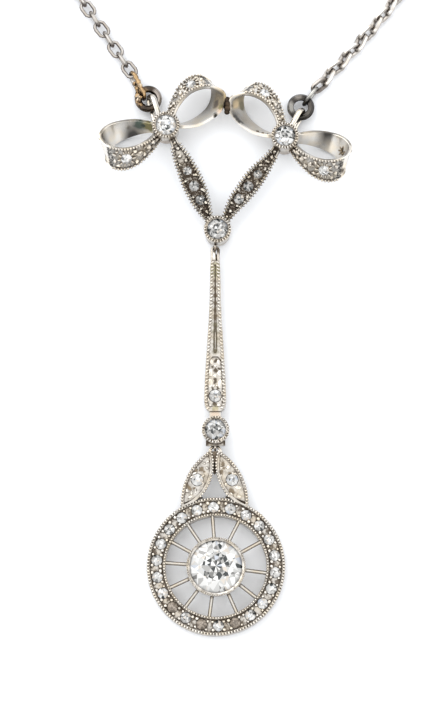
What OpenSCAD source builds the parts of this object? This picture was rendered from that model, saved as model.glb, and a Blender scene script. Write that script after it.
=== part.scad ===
// Necklace with two ribbon bows, a knife bar and a round pierced drop, laid out on a flat surface.
// +Y runs from the drop towards the back of the neck and +Z is up, out of the face of the jewel.
// The pendant is drawn from the centre of the drop's back and moved to its place by laid().

/* [Round drop] */
// Diameter of the round drop over its beaded edge
disc_d = 12.3; // [12:0.1:12.6]
// Width of the ring that holds the small stones
halo_w = 1.65; // [1.6:0.01:1.7]
// Thickness of the ring
halo_t = 1.45; // [1.35:0.05:1.6]
// Number of small stones round the ring
halo_count = 22; // [20:1:22]
// Diameter of each small stone in the ring
halo_stone_d = 1.0; // [0.8:0.05:1.05]
// Width of each spoke
spoke_w = 0.28; // [0.2:0.02:0.4]
// Diameter of the centre stone
centre_stone_d = 4.8; // [4.6:0.05:4.9]
// Height of the centre stone's rim above the surface
centre_rim_z = 2.55; // [2.45:0.05:2.8]

/* [Leaves] */
// Radius of the leaf's outer edge
leaf_outer_r = 5.39; // [5.35:0.01:5.45]
// Radius of the leaf's inner edge
leaf_inner_r = 4.13; // [4.1:0.01:4.2]
// Height of the leaves' face above the surface
leaf_z = 1.6; // [1.5:0.05:1.7]
// Thickness of a leaf
leaf_t = 0.55; // [0.5:0.05:0.6]
// Diameter of the stone in each leaf
leaf_stone_d = 1.1; // [0.9:0.05:1.15]

/* [Bar] */
// Height of the bar's face above the surface
bar_z = 1.5; // [1.4:0.05:1.6]
// Thickness of the bar
bar_t = 1.0; // [0.8:0.05:1.1]
// Diameter of the stone at the foot of the bar
bar_stone_d = 1.15; // [1:0.05:1.2]

/* [Bows] */
// Length of each bow loop, from the knot to its fold
loop_len = 6.3; // [6.1:0.05:6.4]
// Thickness of the ribbon
ribbon_t = 0.34; // [0.3:0.02:0.4]
// Width of the raised rim along each edge of the ribbon
ribbon_rim = 0.2; // [0.16:0.01:0.24]
// Depth of the sunk floor between the ribbon's rims
ribbon_sink = 0.1; // [0.06:0.01:0.14]
// Diameter of the stone in each bow loop
loop_stone_d = 1.05; // [0.9:0.05:1.1]
// Diameter of the stone in each of the four collets
collet_stone_d = 2.0; // [1.9:0.05:2.05]

/* [Rings and chain] */
// Outer diameter of each jump ring
ring_d = 2.5; // [2.4:0.05:2.6]
// Thickness of a jump ring's wire
ring_wire = 0.64; // [0.56:0.02:0.66]
// Diameter of the round space that the fine chain fills
chain_d = 1.3; // [1.2:0.05:1.35]
// Diameter of the barrel clasp
clasp_d = 2.2; // [2:0.1:2.4]
// Length of the clasp's barrel
clasp_len = 6.8; // [6:0.1:6.9]

/* [Hidden] */
$fn = 40;

white_gold = [0.83, 0.81, 0.77];
dark_silver = [0.36, 0.34, 0.32];
bronze = [0.62, 0.47, 0.3];
diamond = [0.9, 0.92, 0.95];

gap = 0.03;            // running clearance round every stone
girdle_drop = 0.26;    // depth of a collet stone's girdle below the collet's rim
disc_r = disc_d / 2;
halo_in_r = disc_r - halo_w;
halo_mid_r = disc_r - halo_w / 2 - 0.02;
halo_floor_z = halo_t - 0.14;
centre_at = [0, -0.15];
centre_foot_z = 0.3;
spoke_angles = [27, 61, 97.5, 128, 156, 187.5, 217, 245, 274, 299, 326, 356];
spoke_top_z = 1.36;
spoke_low_z = 0.9;
spoke_from_r = 1.5;    // where the spokes begin, before the centre is cut clear
spoke_bite = 0.12;     // how far a spoke runs into the walls at its two ends

leaf_mirror_x = -0.12;
leaf_outer_at = [2.29, 5.75];
leaf_inner_at = [-4.4, 9.09];
leaf_stone_at = [-1.68, 7.75];
leaf_floor_z = leaf_z - 0.1;
leaf_bite = 0.08;      // how far a leaf's foot runs into the drop's edge
leaf_rim = 0.24;
bridge_w = 0.9;        // bridge of solder that joins the tips of the leaves
bridge_y = 9.35;
bridge_len = 0.98;
bridge_t = 0.43;

bar_x = -0.07;
lower_collet_at = [-0.04, 12.19];
lower_rim_z = 2.3;
lower_foot_z = 0.4;
foot_bar_w = 1.74;     // straight bar across the foot of the lower collet, over the drop's ring
foot_bar_y = 10.85;
foot_bar_len = 0.45;
foot_bar_z = 1.06;
foot_bar_t = 0.44;
bar_stone_y = 15.38;
bar_sink = 0.14;
neck_w = 1.0;          // solder neck between the bar and the lower collet
neck_y = 13.05;
neck_len = 1.1;
neck_step = 0.2;

// Bar outline, each row: distance up from the drop's centre, width of the bar there
bar_rows = [
    [27.75, 0.7], [27.5, 0.84], [25.9, 0.96], [24.1, 1.02], [22.3, 1.18], [20.4, 1.42],
    [18.6, 1.66], [16.8, 1.88], [15, 1.98], [14.5, 1.86], [14.15, 1.5], [13.98, 1.0]
];
// Sunk groove between the bar's rails, same columns
groove_rows = [[27.4, 0.12], [24.1, 0.16], [22.3, 0.26], [20.4, 0.34], [19.45, 0.36], [19.25, 0.16]];
// Sunk bed that holds the grains and the stone, same columns
bed_rows = [[18.95, 0.5], [18.6, 1.1], [16.8, 1.34], [15, 1.46], [14.6, 1.36], [14.35, 1.05]];

knot_left_at = [-4.53, 39.95];
knot_right_at = [6.25, 38.93];
knot_rim_z = 3.4;
knot_h = 2.7;
junction_at = [0.14, 30.48];
junction_rim_z = 2.5;
junction_h = 2.3;

// One bow loop, knot at the origin and fold towards +X, each row a section of the ribbon:
// [top edge along, across, height, low edge along, across, height]
loop_rows = [
    [0.80,  0.60, 2.35,  0.98, -0.05, 1.45],
    [1.40,  1.00, 2.05,  1.40,  0.35, 0.90],
    [2.50,  1.45, 1.90,  2.50,  0.50, 0.40],
    [3.70,  1.60, 1.90,  3.70,  0.42, 0.10],
    [4.90,  1.50, 2.00,  4.70,  0.12, 0.10],
    [5.80,  1.05, 2.20,  5.45, -0.45, 0.32],
    [6.25,  0.30, 2.50,  5.95, -1.25, 0.65],
    [5.95, -0.45, 2.80,  5.90, -2.10, 1.10],
    [5.15, -1.10, 3.00,  5.30, -2.75, 1.45],
    [4.10, -1.45, 3.10,  4.30, -3.05, 1.62],
    [3.00, -1.45, 3.10,  3.10, -2.80, 1.72],
    [1.90, -1.12, 2.95,  2.00, -2.15, 1.78],
    [1.30, -0.78, 2.80,  1.15, -1.45, 1.80],
    [0.90, -0.42, 2.65,  0.58, -0.86, 1.85]
];
loop_rows_len = 6.3;   // length that the table above is drawn at
loop_scale = loop_len / loop_rows_len;
// The four loops, each row: knot, turn of the fold from +X, mirrored across its length or not
loops = [
    [knot_left_at, 191, true],
    [knot_left_at, 33, true],
    [knot_right_at, 141, false],
    [knot_right_at, -12, false]
];
loop_stone_row = 9.1;

// Bow tails, each row: [left edge x, y, right edge x, y, height of the face]
left_tail_rows = [
    [-4.35, 39.00, -3.75, 39.32, 2.30],
    [-4.05, 38.25, -3.40, 38.60, 2.25],
    [-3.75, 36.95, -2.72, 37.70, 2.20],
    [-3.40, 35.85, -2.00, 36.60, 2.10],
    [-2.95, 34.55, -1.42, 35.50, 2.00],
    [-2.30, 33.30, -0.92, 34.30, 1.90],
    [-1.65, 32.30, -0.62, 33.20, 1.80],
    [-0.95, 31.50, -0.42, 31.90, 1.70],
    [-0.72, 31.00, -0.25, 31.40, 1.60]
];
right_tail_rows = [
    [ 5.38, 38.50,  5.90, 38.00, 2.30],
    [ 4.98, 37.90,  5.55, 37.30, 2.25],
    [ 4.35, 37.20,  5.02, 36.35, 2.20],
    [ 3.40, 36.35,  4.48, 35.35, 2.10],
    [ 2.60, 35.45,  3.85, 34.40, 2.00],
    [ 1.85, 34.35,  3.00, 33.35, 1.90],
    [ 1.20, 33.30,  2.15, 32.50, 1.80],
    [ 0.72, 32.00,  1.25, 31.55, 1.70],
    [ 0.55, 31.40,  1.00, 31.00, 1.60]
];
tail_t = 0.5;
// Stones along a tail, each row: place along the tail in rows, diameter
tail_stones = [[3.2, 0.8], [4.35, 0.95], [5.45, 0.95]];

ring_left_at = [-6.2, 43.05];
ring_right_at = [7.76, 42.26];
ring_z = 0.7;
bail_wire = 0.3;
bail_w = 0.5;           // width of the flattened wire, across the bail
bail_h = 1.22;
bail_z = 0.75;
bail_steps = 16;       // sections round a bail
bail_sides = 6;        // sides of its wire
bail_left_from = [-0.72, 0.8];
bail_left_to = [-1.5, 3.4];
bail_left_tilt = 20;
bail_right_from = [0.51, 0.98];
bail_right_to = [1.69, 3.08];
bail_right_tilt = -12;
solder_ends = [[1.0, 42.55, 2.15], [1.05, 41.75, 2.0]];
solder_d = 0.55;
end_left_from = [-6.48, 42.93];
end_left_turn = 117;
end_left_len = 3.04;
end_left_wire = 0.34;
end_left_h = 1.5;
end_left_z = 0.74;
end_left_roll = 16;    // how far the left link leans over
end_right_z = 0.7;
end_right_from = [7.95, 42.41];
end_right_turn = 51.5;
end_right_len = 2.25;
end_right_wire = 0.32;
end_right_h = 1.36;

drop_ring_at = [-0.07, 10.35];
drop_ring_r = 0.5;
drop_ring_wire = 0.26;
link_z = 0.8;
lug_r = 0.31;
lug_wire = 0.22;
hook_r = 0.28;
hook_wire = 0.28;
hook_y = 28.77;
hook_z = 1.2;
hook_foot_y = 27.5;

clasp_y = 190;
clasp_loop_r = 0.55;
clasp_wire = 0.4;

// Routes of the two runs of chain, from the jump ring to the clasp, chosen by hand
left_route = [
    [-8.0, 45.85], [-12, 51.9], [-18, 60.7], [-26, 72.5], [-34, 84.4], [-41.5, 95.5], [-48, 106],
    [-53, 117.5], [-55.7, 129.5], [-55.5, 142], [-52, 155], [-45.5, 166.5], [-36, 176.5], [-25, 184],
    [-14, 188.3], [-5, 190]
];
right_route = [
    [9.55, 44.4], [14, 49.3], [18, 54.5], [24, 63.2], [31, 74.8], [38, 87.5], [44.5, 100.5], [50, 112],
    [54, 124], [55.8, 136.5], [55, 149], [50.5, 161], [43.5, 171], [34, 179.5], [23, 185.8],
    [13, 188.9], [5, 190]
];
chain_rings = 40;      // rings of the swept solid in each run
chain_sides = 8;

// Half the way between the foot of the drop and the back of the clasp lies on the origin
drop_y = -(clasp_y + clasp_d / 2 - disc_r) / 2;

module laid() translate([0, drop_y, 0]) children();

function unit(v) = v / norm(v);

// Catmull-Rom curve through the rows of a table, t counted in rows
function row_at(rows, i) =
    i < 0 ? 2 * rows[0] - rows[1]
    : i > len(rows) - 1 ? 2 * rows[len(rows) - 1] - rows[len(rows) - 2]
    : rows[i];
function curve(rows, t) =
    let (
        i = min(floor(t), len(rows) - 2),
        f = t - i,
        a = row_at(rows, i - 1),
        b = row_at(rows, i),
        c = row_at(rows, i + 1),
        d = row_at(rows, i + 2)
    )
    b + f / 2 * (c - a + f * (2 * a - 5 * b + 4 * c - d + f * (3 * b - a - 3 * c + d)));

// Edges and directions of a ribbon: rows hold the top edge and the low edge of each section
function top_edge(rows, t) = let (r = curve(rows, t)) [r[0], r[1], r[2]];
function low_edge(rows, t) = let (r = curve(rows, t)) [r[3], r[4], r[5]];
function across(rows, t) = unit(top_edge(rows, t) - low_edge(rows, t));
function middle(rows, t) = (top_edge(rows, t) + low_edge(rows, t)) / 2;
function forward(rows, t) =
    let (e = 0.05, last = len(rows) - 1)
    unit(middle(rows, min(t + e, last)) - middle(rows, max(t - e, 0)));
function outward(rows, t) = unit(cross(across(rows, t), forward(rows, t)));

// The eight corners of a section: two raised rims with a sunk floor, and a flat inner face
function ribbon_section(rows, t, thick, rim, sink) =
    let (
        a = top_edge(rows, t),
        b = low_edge(rows, t),
        w = across(rows, t),
        n = outward(rows, t),
        r = min(rim, norm(a - b) * 0.3)
    )
    [a, a - w * r, a - w * r - n * sink, b + w * r - n * sink, b + w * r, b, b - n * thick, a - n * thick];

module ribbon(rows, thick, rim, sink) {
    count = (len(rows) - 1) * 3;
    points = [for (i = [0 : count]) each ribbon_section(rows, i / 3, thick, rim, sink)];
    caps = [[7, 0, 1, 2], [7, 2, 3, 6], [6, 3, 4, 5]];
    sides = [
        for (i = [0 : count - 1], k = [0 : 7])
            [i * 8 + k, i * 8 + (k + 1) % 8, i * 8 + 8 + (k + 1) % 8, i * 8 + 8 + k]
    ];
    start = [for (c = caps) [c[3], c[2], c[1], c[0]]];
    finish = [for (c = caps) c + [1, 1, 1, 1] * count * 8];
    polyhedron(points, concat(start, sides, finish), convexity = 6);
}

// Places a child with its origin on the ribbon's floor and its +Z out of the face
module on_ribbon(rows, t, sink) {
    n = outward(rows, t);
    f = forward(rows, t);
    s = cross(n, f);
    p = middle(rows, t) - n * sink;
    multmatrix([
        [f[0], s[0], n[0], p[0]],
        [f[1], s[1], n[1], p[1]],
        [f[2], s[2], n[2], p[2]],
        [0, 0, 0, 1]
    ])
        children();
}

module at_loop(loop) {
    translate([loop[0][0], loop[0][1], 0])
        rotate([0, 0, loop[1]])
            mirror([0, loop[2] ? 1 : 0, 0])
                children();
}

function scaled_rows(rows, k) = [for (r = rows) [r[0] * k, r[1] * k, r[2], r[3] * k, r[4] * k, r[5]]];
function tail_rows(rows) = [for (r = rows) [r[0], r[1], r[4], r[2], r[3], r[4]]];
ribbon_rows = scaled_rows(loop_rows, loop_scale);

// Old brilliant cut: table, eight stars, eight kites, sixteen upper facets and as many below.
// The top of the girdle lies at z = 0.
module brilliant(d) {
    r = d / 2;
    table_r = r * 0.53;
    crown_h = r * 0.3;
    girdle_h = r * 0.05;
    pavilion_h = r * 0.84;
    star_r = r * 0.76;
    low_r = r * 0.45;
    star_z = crown_h * (1 - (star_r * cos(22.5) - table_r) / (r - table_r));
    low_z = -girdle_h - pavilion_h * (1 - low_r * cos(22.5) / r);
    table = [for (k = [0 : 7]) [table_r * cos(k * 45), table_r * sin(k * 45), crown_h]];
    star = [for (k = [0 : 7]) [star_r * cos(k * 45 + 22.5), star_r * sin(k * 45 + 22.5), star_z]];
    upper = [for (k = [0 : 15]) [r * cos(k * 22.5), r * sin(k * 22.5), 0]];
    under = [for (k = [0 : 15]) [r * cos(k * 22.5), r * sin(k * 22.5), -girdle_h]];
    low = [for (k = [0 : 7]) [low_r * cos(k * 45 + 22.5), low_r * sin(k * 45 + 22.5), low_z]];
    culet = [[0, 0, -girdle_h - pavilion_h]];
    faces = [
        [7, 6, 5, 4, 3, 2, 1, 0],
        for (k = [0 : 7]) [k, (k + 1) % 8, 8 + k],
        for (k = [0 : 7]) [k, 8 + k, 16 + 2 * k],
        for (k = [0 : 7]) [k, 16 + 2 * k, 8 + (k + 7) % 8],
        for (k = [0 : 7]) [8 + k, 17 + 2 * k, 16 + 2 * k],
        for (k = [0 : 7]) [8 + k, 16 + (2 * k + 2) % 16, 17 + 2 * k],
        for (k = [0 : 15]) [16 + k, 16 + (k + 1) % 16, 32 + (k + 1) % 16, 32 + k],
        for (k = [0 : 7]) [32 + 2 * k, 33 + 2 * k, 48 + k],
        for (k = [0 : 7]) [33 + 2 * k, 32 + (2 * k + 2) % 16, 48 + k],
        for (k = [0 : 7]) [32 + 2 * k, 48 + k, 56],
        for (k = [0 : 7]) [32 + 2 * k, 56, 48 + (k + 7) % 8]
    ];
    polyhedron(concat(table, star, upper, under, low, culet), faces, convexity = 4);
}

// Single cut: table with eight crown facets above a thin girdle and eight facets below
module single_cut(d) {
    r = d / 2;
    table = [for (k = [0 : 7]) [r * 0.5 * cos(k * 45), r * 0.5 * sin(k * 45), r * 0.36]];
    upper = [for (k = [0 : 7]) [r * cos(k * 45), r * sin(k * 45), 0]];
    under = [for (k = [0 : 7]) [r * cos(k * 45), r * sin(k * 45), -r * 0.1]];
    culet = [[0, 0, -r * 0.8]];
    faces = [
        [7, 6, 5, 4, 3, 2, 1, 0],
        for (k = [0 : 7]) [k, (k + 1) % 8, 8 + (k + 1) % 8, 8 + k],
        for (k = [0 : 7]) [8 + k, 8 + (k + 1) % 8, 16 + (k + 1) % 8, 16 + k],
        for (k = [0 : 7]) [16 + k, 16 + (k + 1) % 8, 24]
    ];
    polyhedron(concat(table, upper, under, culet), faces, convexity = 4);
}

// Space cut out for a single-cut stone whose girdle lies at z = 0, open upwards
module seat(d) {
    r = d / 2 + gap;
    rotate_extrude() polygon([[0, -r * 1.05], [0.06, -r * 1.05], [r, -r * 0.1 - gap], [r, 0.5], [0, 0.5]]);
}

// Round setting, its rim at z = 0, for a brilliant whose girdle lies girdle_drop lower
module collet(stone_d, height) {
    rim_r = stone_d / 2 + 0.22;
    seat_r = stone_d / 2 + gap;
    lip_r = stone_d / 2 - 0.05;
    foot_r = rim_r * 0.92;
    rotate_extrude()
        polygon([
            [foot_r, -height], [rim_r, -0.5], [rim_r, -0.06], [rim_r - 0.1, 0], [lip_r, -0.03],
            [seat_r, -0.15], [seat_r, -0.42], [seat_r - 0.28, -0.7], [foot_r - 0.26, -height]
        ]);
}

function outline(rows, x) = concat(
    [for (r = rows) [x - r[1] / 2, r[0]]],
    [for (i = [len(rows) - 1 : -1 : 0]) [x + rows[i][1] / 2, rows[i][0]]]
);

// Closed ring of wire lying flat
module wire_ring(r, wire, sides = 40) rotate_extrude() translate([r, 0]) circle(d = wire, $fn = sides);

// Oval link of wire standing on edge, from one end at a point of the plan
module upright_link(from, z, turn, len, height, wire, roll = 0) {
    r = (height - wire) / 2;
    translate([from[0], from[1], z]) rotate([0, 0, turn]) rotate([90 + roll, 0, 0]) {
        for (end = [0, 1])
            translate([end ? len - height / 2 : height / 2, 0, 0])
                rotate([0, 0, end ? -90 : 90])
                    rotate_extrude(angle = 180) translate([r, 0]) circle(d = wire);
        for (side = [-1, 1])
            translate([height / 2, side * r, 0])
                rotate([0, 90, 0]) cylinder(h = len - height, d = wire);
    }
}

// The same kind of oval as one swept rod that leans by tilt, for a bail soldered to a faceted frame
module bail(from, to, tilt) {
    len = norm(to - from);
    turn = atan2(to[1] - from[1], to[0] - from[0]);
    n = bail_steps;
    m = bail_sides;
    points = [
        for (i = [0 : n - 1], k = [0 : m - 1])
            let (
                a = (i + 0.5) * 360 / n,
                q = (k + 0.5) * 360 / m,
                r = bail_h / 2 + cos(q) * bail_wire / 2,
                shift = (len - bail_h) / 2 * sign(cos(a))
            )
            [len / 2 + shift + cos(a) * r, sin(a) * r, sin(q) * bail_w / 2]
    ];
    faces = [
        for (i = [0 : n - 1], k = [0 : m - 1])
            let (j = (i + 1) % n, l = (k + 1) % m)
            [i * m + k, i * m + l, j * m + l, j * m + k]
    ];
    translate([from[0], from[1], bail_z]) rotate([0, 0, turn]) rotate([90 + tilt, 0, 0])
        polyhedron(points, faces, convexity = 6);
}

module bow_frame() color(white_gold) laid() union() {
    difference() {
        union() {
            for (l = loops) at_loop(l) ribbon(ribbon_rows, ribbon_t, ribbon_rim, ribbon_sink);
            for (rows = [left_tail_rows, right_tail_rows])
                ribbon(tail_rows(rows), tail_t, ribbon_rim, ribbon_sink);
        }
        for (l = loops)
            at_loop(l) on_ribbon(ribbon_rows, loop_stone_row, ribbon_sink)
                hull() seat(loop_stone_d, $fn = 12);
        for (rows = [left_tail_rows, right_tail_rows], s = tail_stones)
            on_ribbon(tail_rows(rows), s[0], ribbon_sink) hull() seat(s[1], $fn = 12);
    }
    for (knot = [knot_left_at, knot_right_at])
        translate([knot[0], knot[1], knot_rim_z]) collet(collet_stone_d, knot_h, $fn = 20);
    translate([junction_at[0], junction_at[1], junction_rim_z])
        collet(collet_stone_d, junction_h, $fn = 20);
    bail(knot_left_at + bail_left_from, knot_left_at + bail_left_to, bail_left_tilt);
    bail(knot_right_at + bail_right_from, knot_right_at + bail_right_to, bail_right_tilt);
    bow_solder();
    translate([bar_x, hook_y + hook_r, hook_z])
        rotate([0, 90, 0]) wire_ring(lug_r, lug_wire, 8, $fn = 16);
}

// Lump of solder that joins the two bows where their folds meet
module bow_solder() hull()
    for (at = solder_ends) translate(at) sphere(d = solder_d, $fn = 10);

module bar() color(white_gold) laid() {
    difference() {
        union() {
            translate([0, 0, bar_z - bar_t]) linear_extrude(bar_t) polygon(outline(bar_rows, bar_x));
            translate([bar_x - neck_w / 2, neck_y, bar_z - bar_t])
                cube([neck_w, neck_len, bar_t - neck_step]);
        }
        translate([0, 0, bar_z - bar_sink]) linear_extrude(1) polygon(outline(groove_rows, bar_x));
        translate([0, 0, bar_z - bar_sink]) linear_extrude(1) polygon(outline(bed_rows, bar_x));
        translate([bar_x, bar_stone_y, bar_z - bar_sink]) seat(bar_stone_d);
        translate([lower_collet_at[0], lower_collet_at[1], 0]) cylinder(h = 3, r = collet_stone_d / 2);
    }
    translate([lower_collet_at[0], lower_collet_at[1], lower_rim_z])
        collet(collet_stone_d, lower_rim_z - lower_foot_z);
    translate([lower_collet_at[0] - foot_bar_w / 2, foot_bar_y, foot_bar_z])
        cube([foot_bar_w, foot_bar_len, foot_bar_t]);
    translate([bar_x, drop_ring_at[1] + drop_ring_r, link_z])
        rotate([0, 90, 0]) wire_ring(lug_r, lug_wire);
    translate([bar_x, hook_y, hook_z]) {
        rotate_extrude(angle = 180) translate([hook_r, 0]) circle(d = hook_wire);
        for (side = [-1, 1])
            translate([side * hook_r, 0, 0])
                rotate([90, 0, 0]) cylinder(h = hook_y - hook_foot_y, d = hook_wire);
    }
}

module drop_ring() color(white_gold) laid()
    translate([drop_ring_at[0], drop_ring_at[1], link_z]) wire_ring(drop_ring_r, drop_ring_wire);

module leaf_plan(inset) intersection() {
    translate(leaf_outer_at) circle(r = leaf_outer_r - inset);
    translate(leaf_inner_at) circle(r = leaf_inner_r - inset);
}

module leaf() difference() {
    translate([0, 0, leaf_z - leaf_t]) linear_extrude(leaf_t) leaf_plan(0);
    translate([0, 0, leaf_floor_z]) linear_extrude(1) leaf_plan(leaf_rim);
    translate([leaf_stone_at[0], leaf_stone_at[1], leaf_floor_z]) seat(leaf_stone_d);
    cylinder(h = 5, r = disc_r - leaf_bite);
}

module both_leaves() for (side = [0, 1])
    translate([leaf_mirror_x, 0, 0]) mirror([side, 0, 0]) translate([-leaf_mirror_x, 0, 0]) children();

module halo() difference() {
    rotate_extrude() polygon([
        [disc_r - 0.1, 0], [disc_r, 0.15], [disc_r, halo_t - 0.06], [disc_r - 0.06, halo_t],
        [disc_r - 0.26, halo_t], [disc_r - 0.3, halo_floor_z], [halo_in_r + 0.26, halo_floor_z],
        [halo_in_r + 0.22, halo_t], [halo_in_r, halo_t], [halo_in_r, 0.25], [halo_in_r + 0.25, 0]
    ]);
    for (k = [0 : halo_count - 1]) at_halo_stone(k) seat(halo_stone_d);
}

module at_halo_stone(k) rotate([0, 0, -14 - k * 360 / halo_count])
    translate([0, halo_mid_r, halo_floor_z]) children();

module disc_frame() color(white_gold) laid() {
    halo();
    difference() {
        for (a = spoke_angles) rotate([0, 0, -a])
            translate([-spoke_w / 2, spoke_from_r, spoke_low_z])
                cube([spoke_w, halo_in_r - spoke_from_r + spoke_bite, spoke_top_z - spoke_low_z]);
        translate([centre_at[0], centre_at[1], 0]) cylinder(h = 3, r = centre_stone_d / 2 - spoke_bite);
    }
    translate([centre_at[0], centre_at[1], centre_rim_z])
        collet(centre_stone_d, centre_rim_z - centre_foot_z);
    both_leaves() leaf();
    translate([leaf_mirror_x - bridge_w / 2, bridge_y, leaf_z - leaf_t])
        cube([bridge_w, bridge_len, bridge_t]);
    translate([bar_x, drop_ring_at[1] - drop_ring_r, link_z])
        rotate([0, 90, 0]) wire_ring(lug_r, lug_wire);
}

module jump_ring_left() color(bronze) laid()
    translate([ring_left_at[0], ring_left_at[1], ring_z]) wire_ring((ring_d - ring_wire) / 2, ring_wire);

module jump_ring_right() color(dark_silver) laid()
    translate([ring_right_at[0], ring_right_at[1], ring_z]) wire_ring((ring_d - ring_wire) / 2, ring_wire);

module end_link_left() color(bronze) laid()
    upright_link(end_left_from, end_left_z, end_left_turn, end_left_len, end_left_h, end_left_wire,
        end_left_roll);

module end_link_right() color(dark_silver) laid()
    upright_link(end_right_from, end_right_z, end_right_turn, end_right_len, end_right_h, end_right_wire);

// Swept solid that stands for a run of fine chain
module chain_run(route) {
    last = len(route) - 1;
    r = chain_d / 2;
    places = [for (i = [0 : chain_rings - 1]) curve(route, i * last / (chain_rings - 1))];
    points = [
        for (i = [0 : chain_rings - 1])
            let (
                a = places[max(i - 1, 0)],
                b = places[min(i + 1, chain_rings - 1)],
                f = unit(b - a)
            )
            for (k = [0 : chain_sides - 1])
                let (q = k * 360 / chain_sides)
                [places[i][0] + f[1] * r * cos(q), places[i][1] - f[0] * r * cos(q), r + r * sin(q)]
    ];
    n = chain_sides;
    sides = [
        for (i = [0 : chain_rings - 2], k = [0 : n - 1])
            [i * n + k, i * n + n + k, i * n + n + (k + 1) % n, i * n + (k + 1) % n]
    ];
    start = [for (k = [0 : n - 1]) k];
    finish = [for (k = [n - 1 : -1 : 0]) (chain_rings - 1) * n + k];
    polyhedron(points, concat([start], sides, [finish]), convexity = 6);
}

module chain_left() color(white_gold) laid() chain_run(left_route);

module chain_right() color(dark_silver) laid() chain_run(right_route);

module clasp() color(white_gold) laid() translate([0, clasp_y, clasp_d / 2]) {
    rotate([0, 90, 0]) rotate_extrude() polygon([
        [0, -clasp_len / 2 - 0.35], [0.3, -clasp_len / 2 - 0.35], [0.3, -clasp_len / 2],
        [clasp_d / 2 - 0.4, -clasp_len / 2], [clasp_d / 2, -clasp_len / 2 + 0.6],
        [clasp_d / 2, clasp_len / 2 - 0.6], [clasp_d / 2 - 0.4, clasp_len / 2], [0.3, clasp_len / 2],
        [0.3, clasp_len / 2 + 0.35], [0, clasp_len / 2 + 0.35]
    ]);
    for (side = [-1, 1])
        translate([side * (clasp_len / 2 + 0.7), 0, 0]) wire_ring(clasp_loop_r, clasp_wire);
}

module set_brilliant(at, rim_z, d) color(diamond) laid()
    translate([at[0], at[1], rim_z - girdle_drop]) brilliant(d);

module centre_stone() set_brilliant(centre_at, centre_rim_z, centre_stone_d);
module knot_stone_left() set_brilliant(knot_left_at, knot_rim_z, collet_stone_d);
module knot_stone_right() set_brilliant(knot_right_at, knot_rim_z, collet_stone_d);
module junction_stone() set_brilliant(junction_at, junction_rim_z, collet_stone_d);
module lower_stone() set_brilliant(lower_collet_at, lower_rim_z, collet_stone_d);

module bar_stone() color(diamond) laid()
    translate([bar_x, bar_stone_y, bar_z - bar_sink]) single_cut(bar_stone_d);

module leaf_stone(side) color(diamond) laid()
    translate([leaf_mirror_x + side * (leaf_stone_at[0] - leaf_mirror_x), leaf_stone_at[1], leaf_floor_z])
        single_cut(leaf_stone_d);

module loop_stone(k) color(diamond) laid() at_loop(loops[k])
    on_ribbon(ribbon_rows, loop_stone_row, ribbon_sink) single_cut(loop_stone_d);

module tail_stone(rows, k) color(diamond) laid()
    on_ribbon(tail_rows(rows), tail_stones[k][0], ribbon_sink) single_cut(tail_stones[k][1]);

module halo_stones() color(diamond) laid()
    for (k = [0 : halo_count - 1]) at_halo_stone(k) single_cut(halo_stone_d);

bow_frame();
bar();
drop_ring();
disc_frame();
jump_ring_left();
jump_ring_right();
end_link_left();
end_link_right();
chain_left();
chain_right();
clasp();
centre_stone();
knot_stone_left();
knot_stone_right();
junction_stone();
lower_stone();
bar_stone();
leaf_stone(1);  // leaf_stone_left
leaf_stone(-1);  // leaf_stone_right
loop_stone(0);  // loop_stone_1
loop_stone(1);  // loop_stone_2
loop_stone(2);  // loop_stone_3
loop_stone(3);  // loop_stone_4
tail_stone(left_tail_rows, 0);  // tail_stone_1
tail_stone(left_tail_rows, 1);  // tail_stone_2
tail_stone(left_tail_rows, 2);  // tail_stone_3
tail_stone(right_tail_rows, 0);  // tail_stone_4
tail_stone(right_tail_rows, 1);  // tail_stone_5
tail_stone(right_tail_rows, 2);  // tail_stone_6
halo_stones();
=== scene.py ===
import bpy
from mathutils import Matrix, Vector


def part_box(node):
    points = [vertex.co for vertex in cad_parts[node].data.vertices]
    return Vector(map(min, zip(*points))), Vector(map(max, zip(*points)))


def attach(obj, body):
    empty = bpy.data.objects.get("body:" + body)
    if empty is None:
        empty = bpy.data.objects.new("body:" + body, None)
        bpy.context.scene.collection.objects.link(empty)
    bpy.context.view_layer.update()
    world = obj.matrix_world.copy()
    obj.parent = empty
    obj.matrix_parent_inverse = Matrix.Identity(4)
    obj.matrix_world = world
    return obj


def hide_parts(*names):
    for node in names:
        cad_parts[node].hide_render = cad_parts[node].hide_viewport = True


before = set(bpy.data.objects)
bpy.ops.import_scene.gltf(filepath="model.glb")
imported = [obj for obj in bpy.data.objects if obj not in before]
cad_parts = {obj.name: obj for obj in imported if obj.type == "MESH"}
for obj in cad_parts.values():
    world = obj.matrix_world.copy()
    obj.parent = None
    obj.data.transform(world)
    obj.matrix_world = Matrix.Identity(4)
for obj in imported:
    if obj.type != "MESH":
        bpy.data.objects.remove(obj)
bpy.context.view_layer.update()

import random
from collections import namedtuple
from math import atan2, copysign, cos, pi, radians, sin
import bmesh
import bpy
from mathutils import Matrix, Vector

# The board. The necklace lies face up on a plain white light table, under a wide soft light from
# the upper left, and is seen from almost straight above through a long lens.
drop_low, drop_high = [Vector(corner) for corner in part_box("disc_frame")]
drop_r = (drop_high.x - drop_low.x) / 2
drop_at = Vector((drop_low.x + drop_r, drop_low.y + drop_r, 0))
camera_rise = radians(80)
camera_distance = 0.28
camera_aim = drop_at + Vector((0, 0.01862, 0.0015))
lens = bpy.data.cameras.new("long_lens")
lens.lens = 155.56
lens.sensor_width = 36
lens.clip_start = 0.01
camera = bpy.data.objects.new("camera", lens)
camera.location = camera_aim + camera_distance * Vector((0, -cos(camera_rise), sin(camera_rise)))
camera.rotation_euler = (pi / 2 - camera_rise, 0, 0)
bpy.context.scene.collection.objects.link(camera)
bpy.context.scene.camera = camera
bpy.context.scene.view_settings.view_transform = "Standard"


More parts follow.
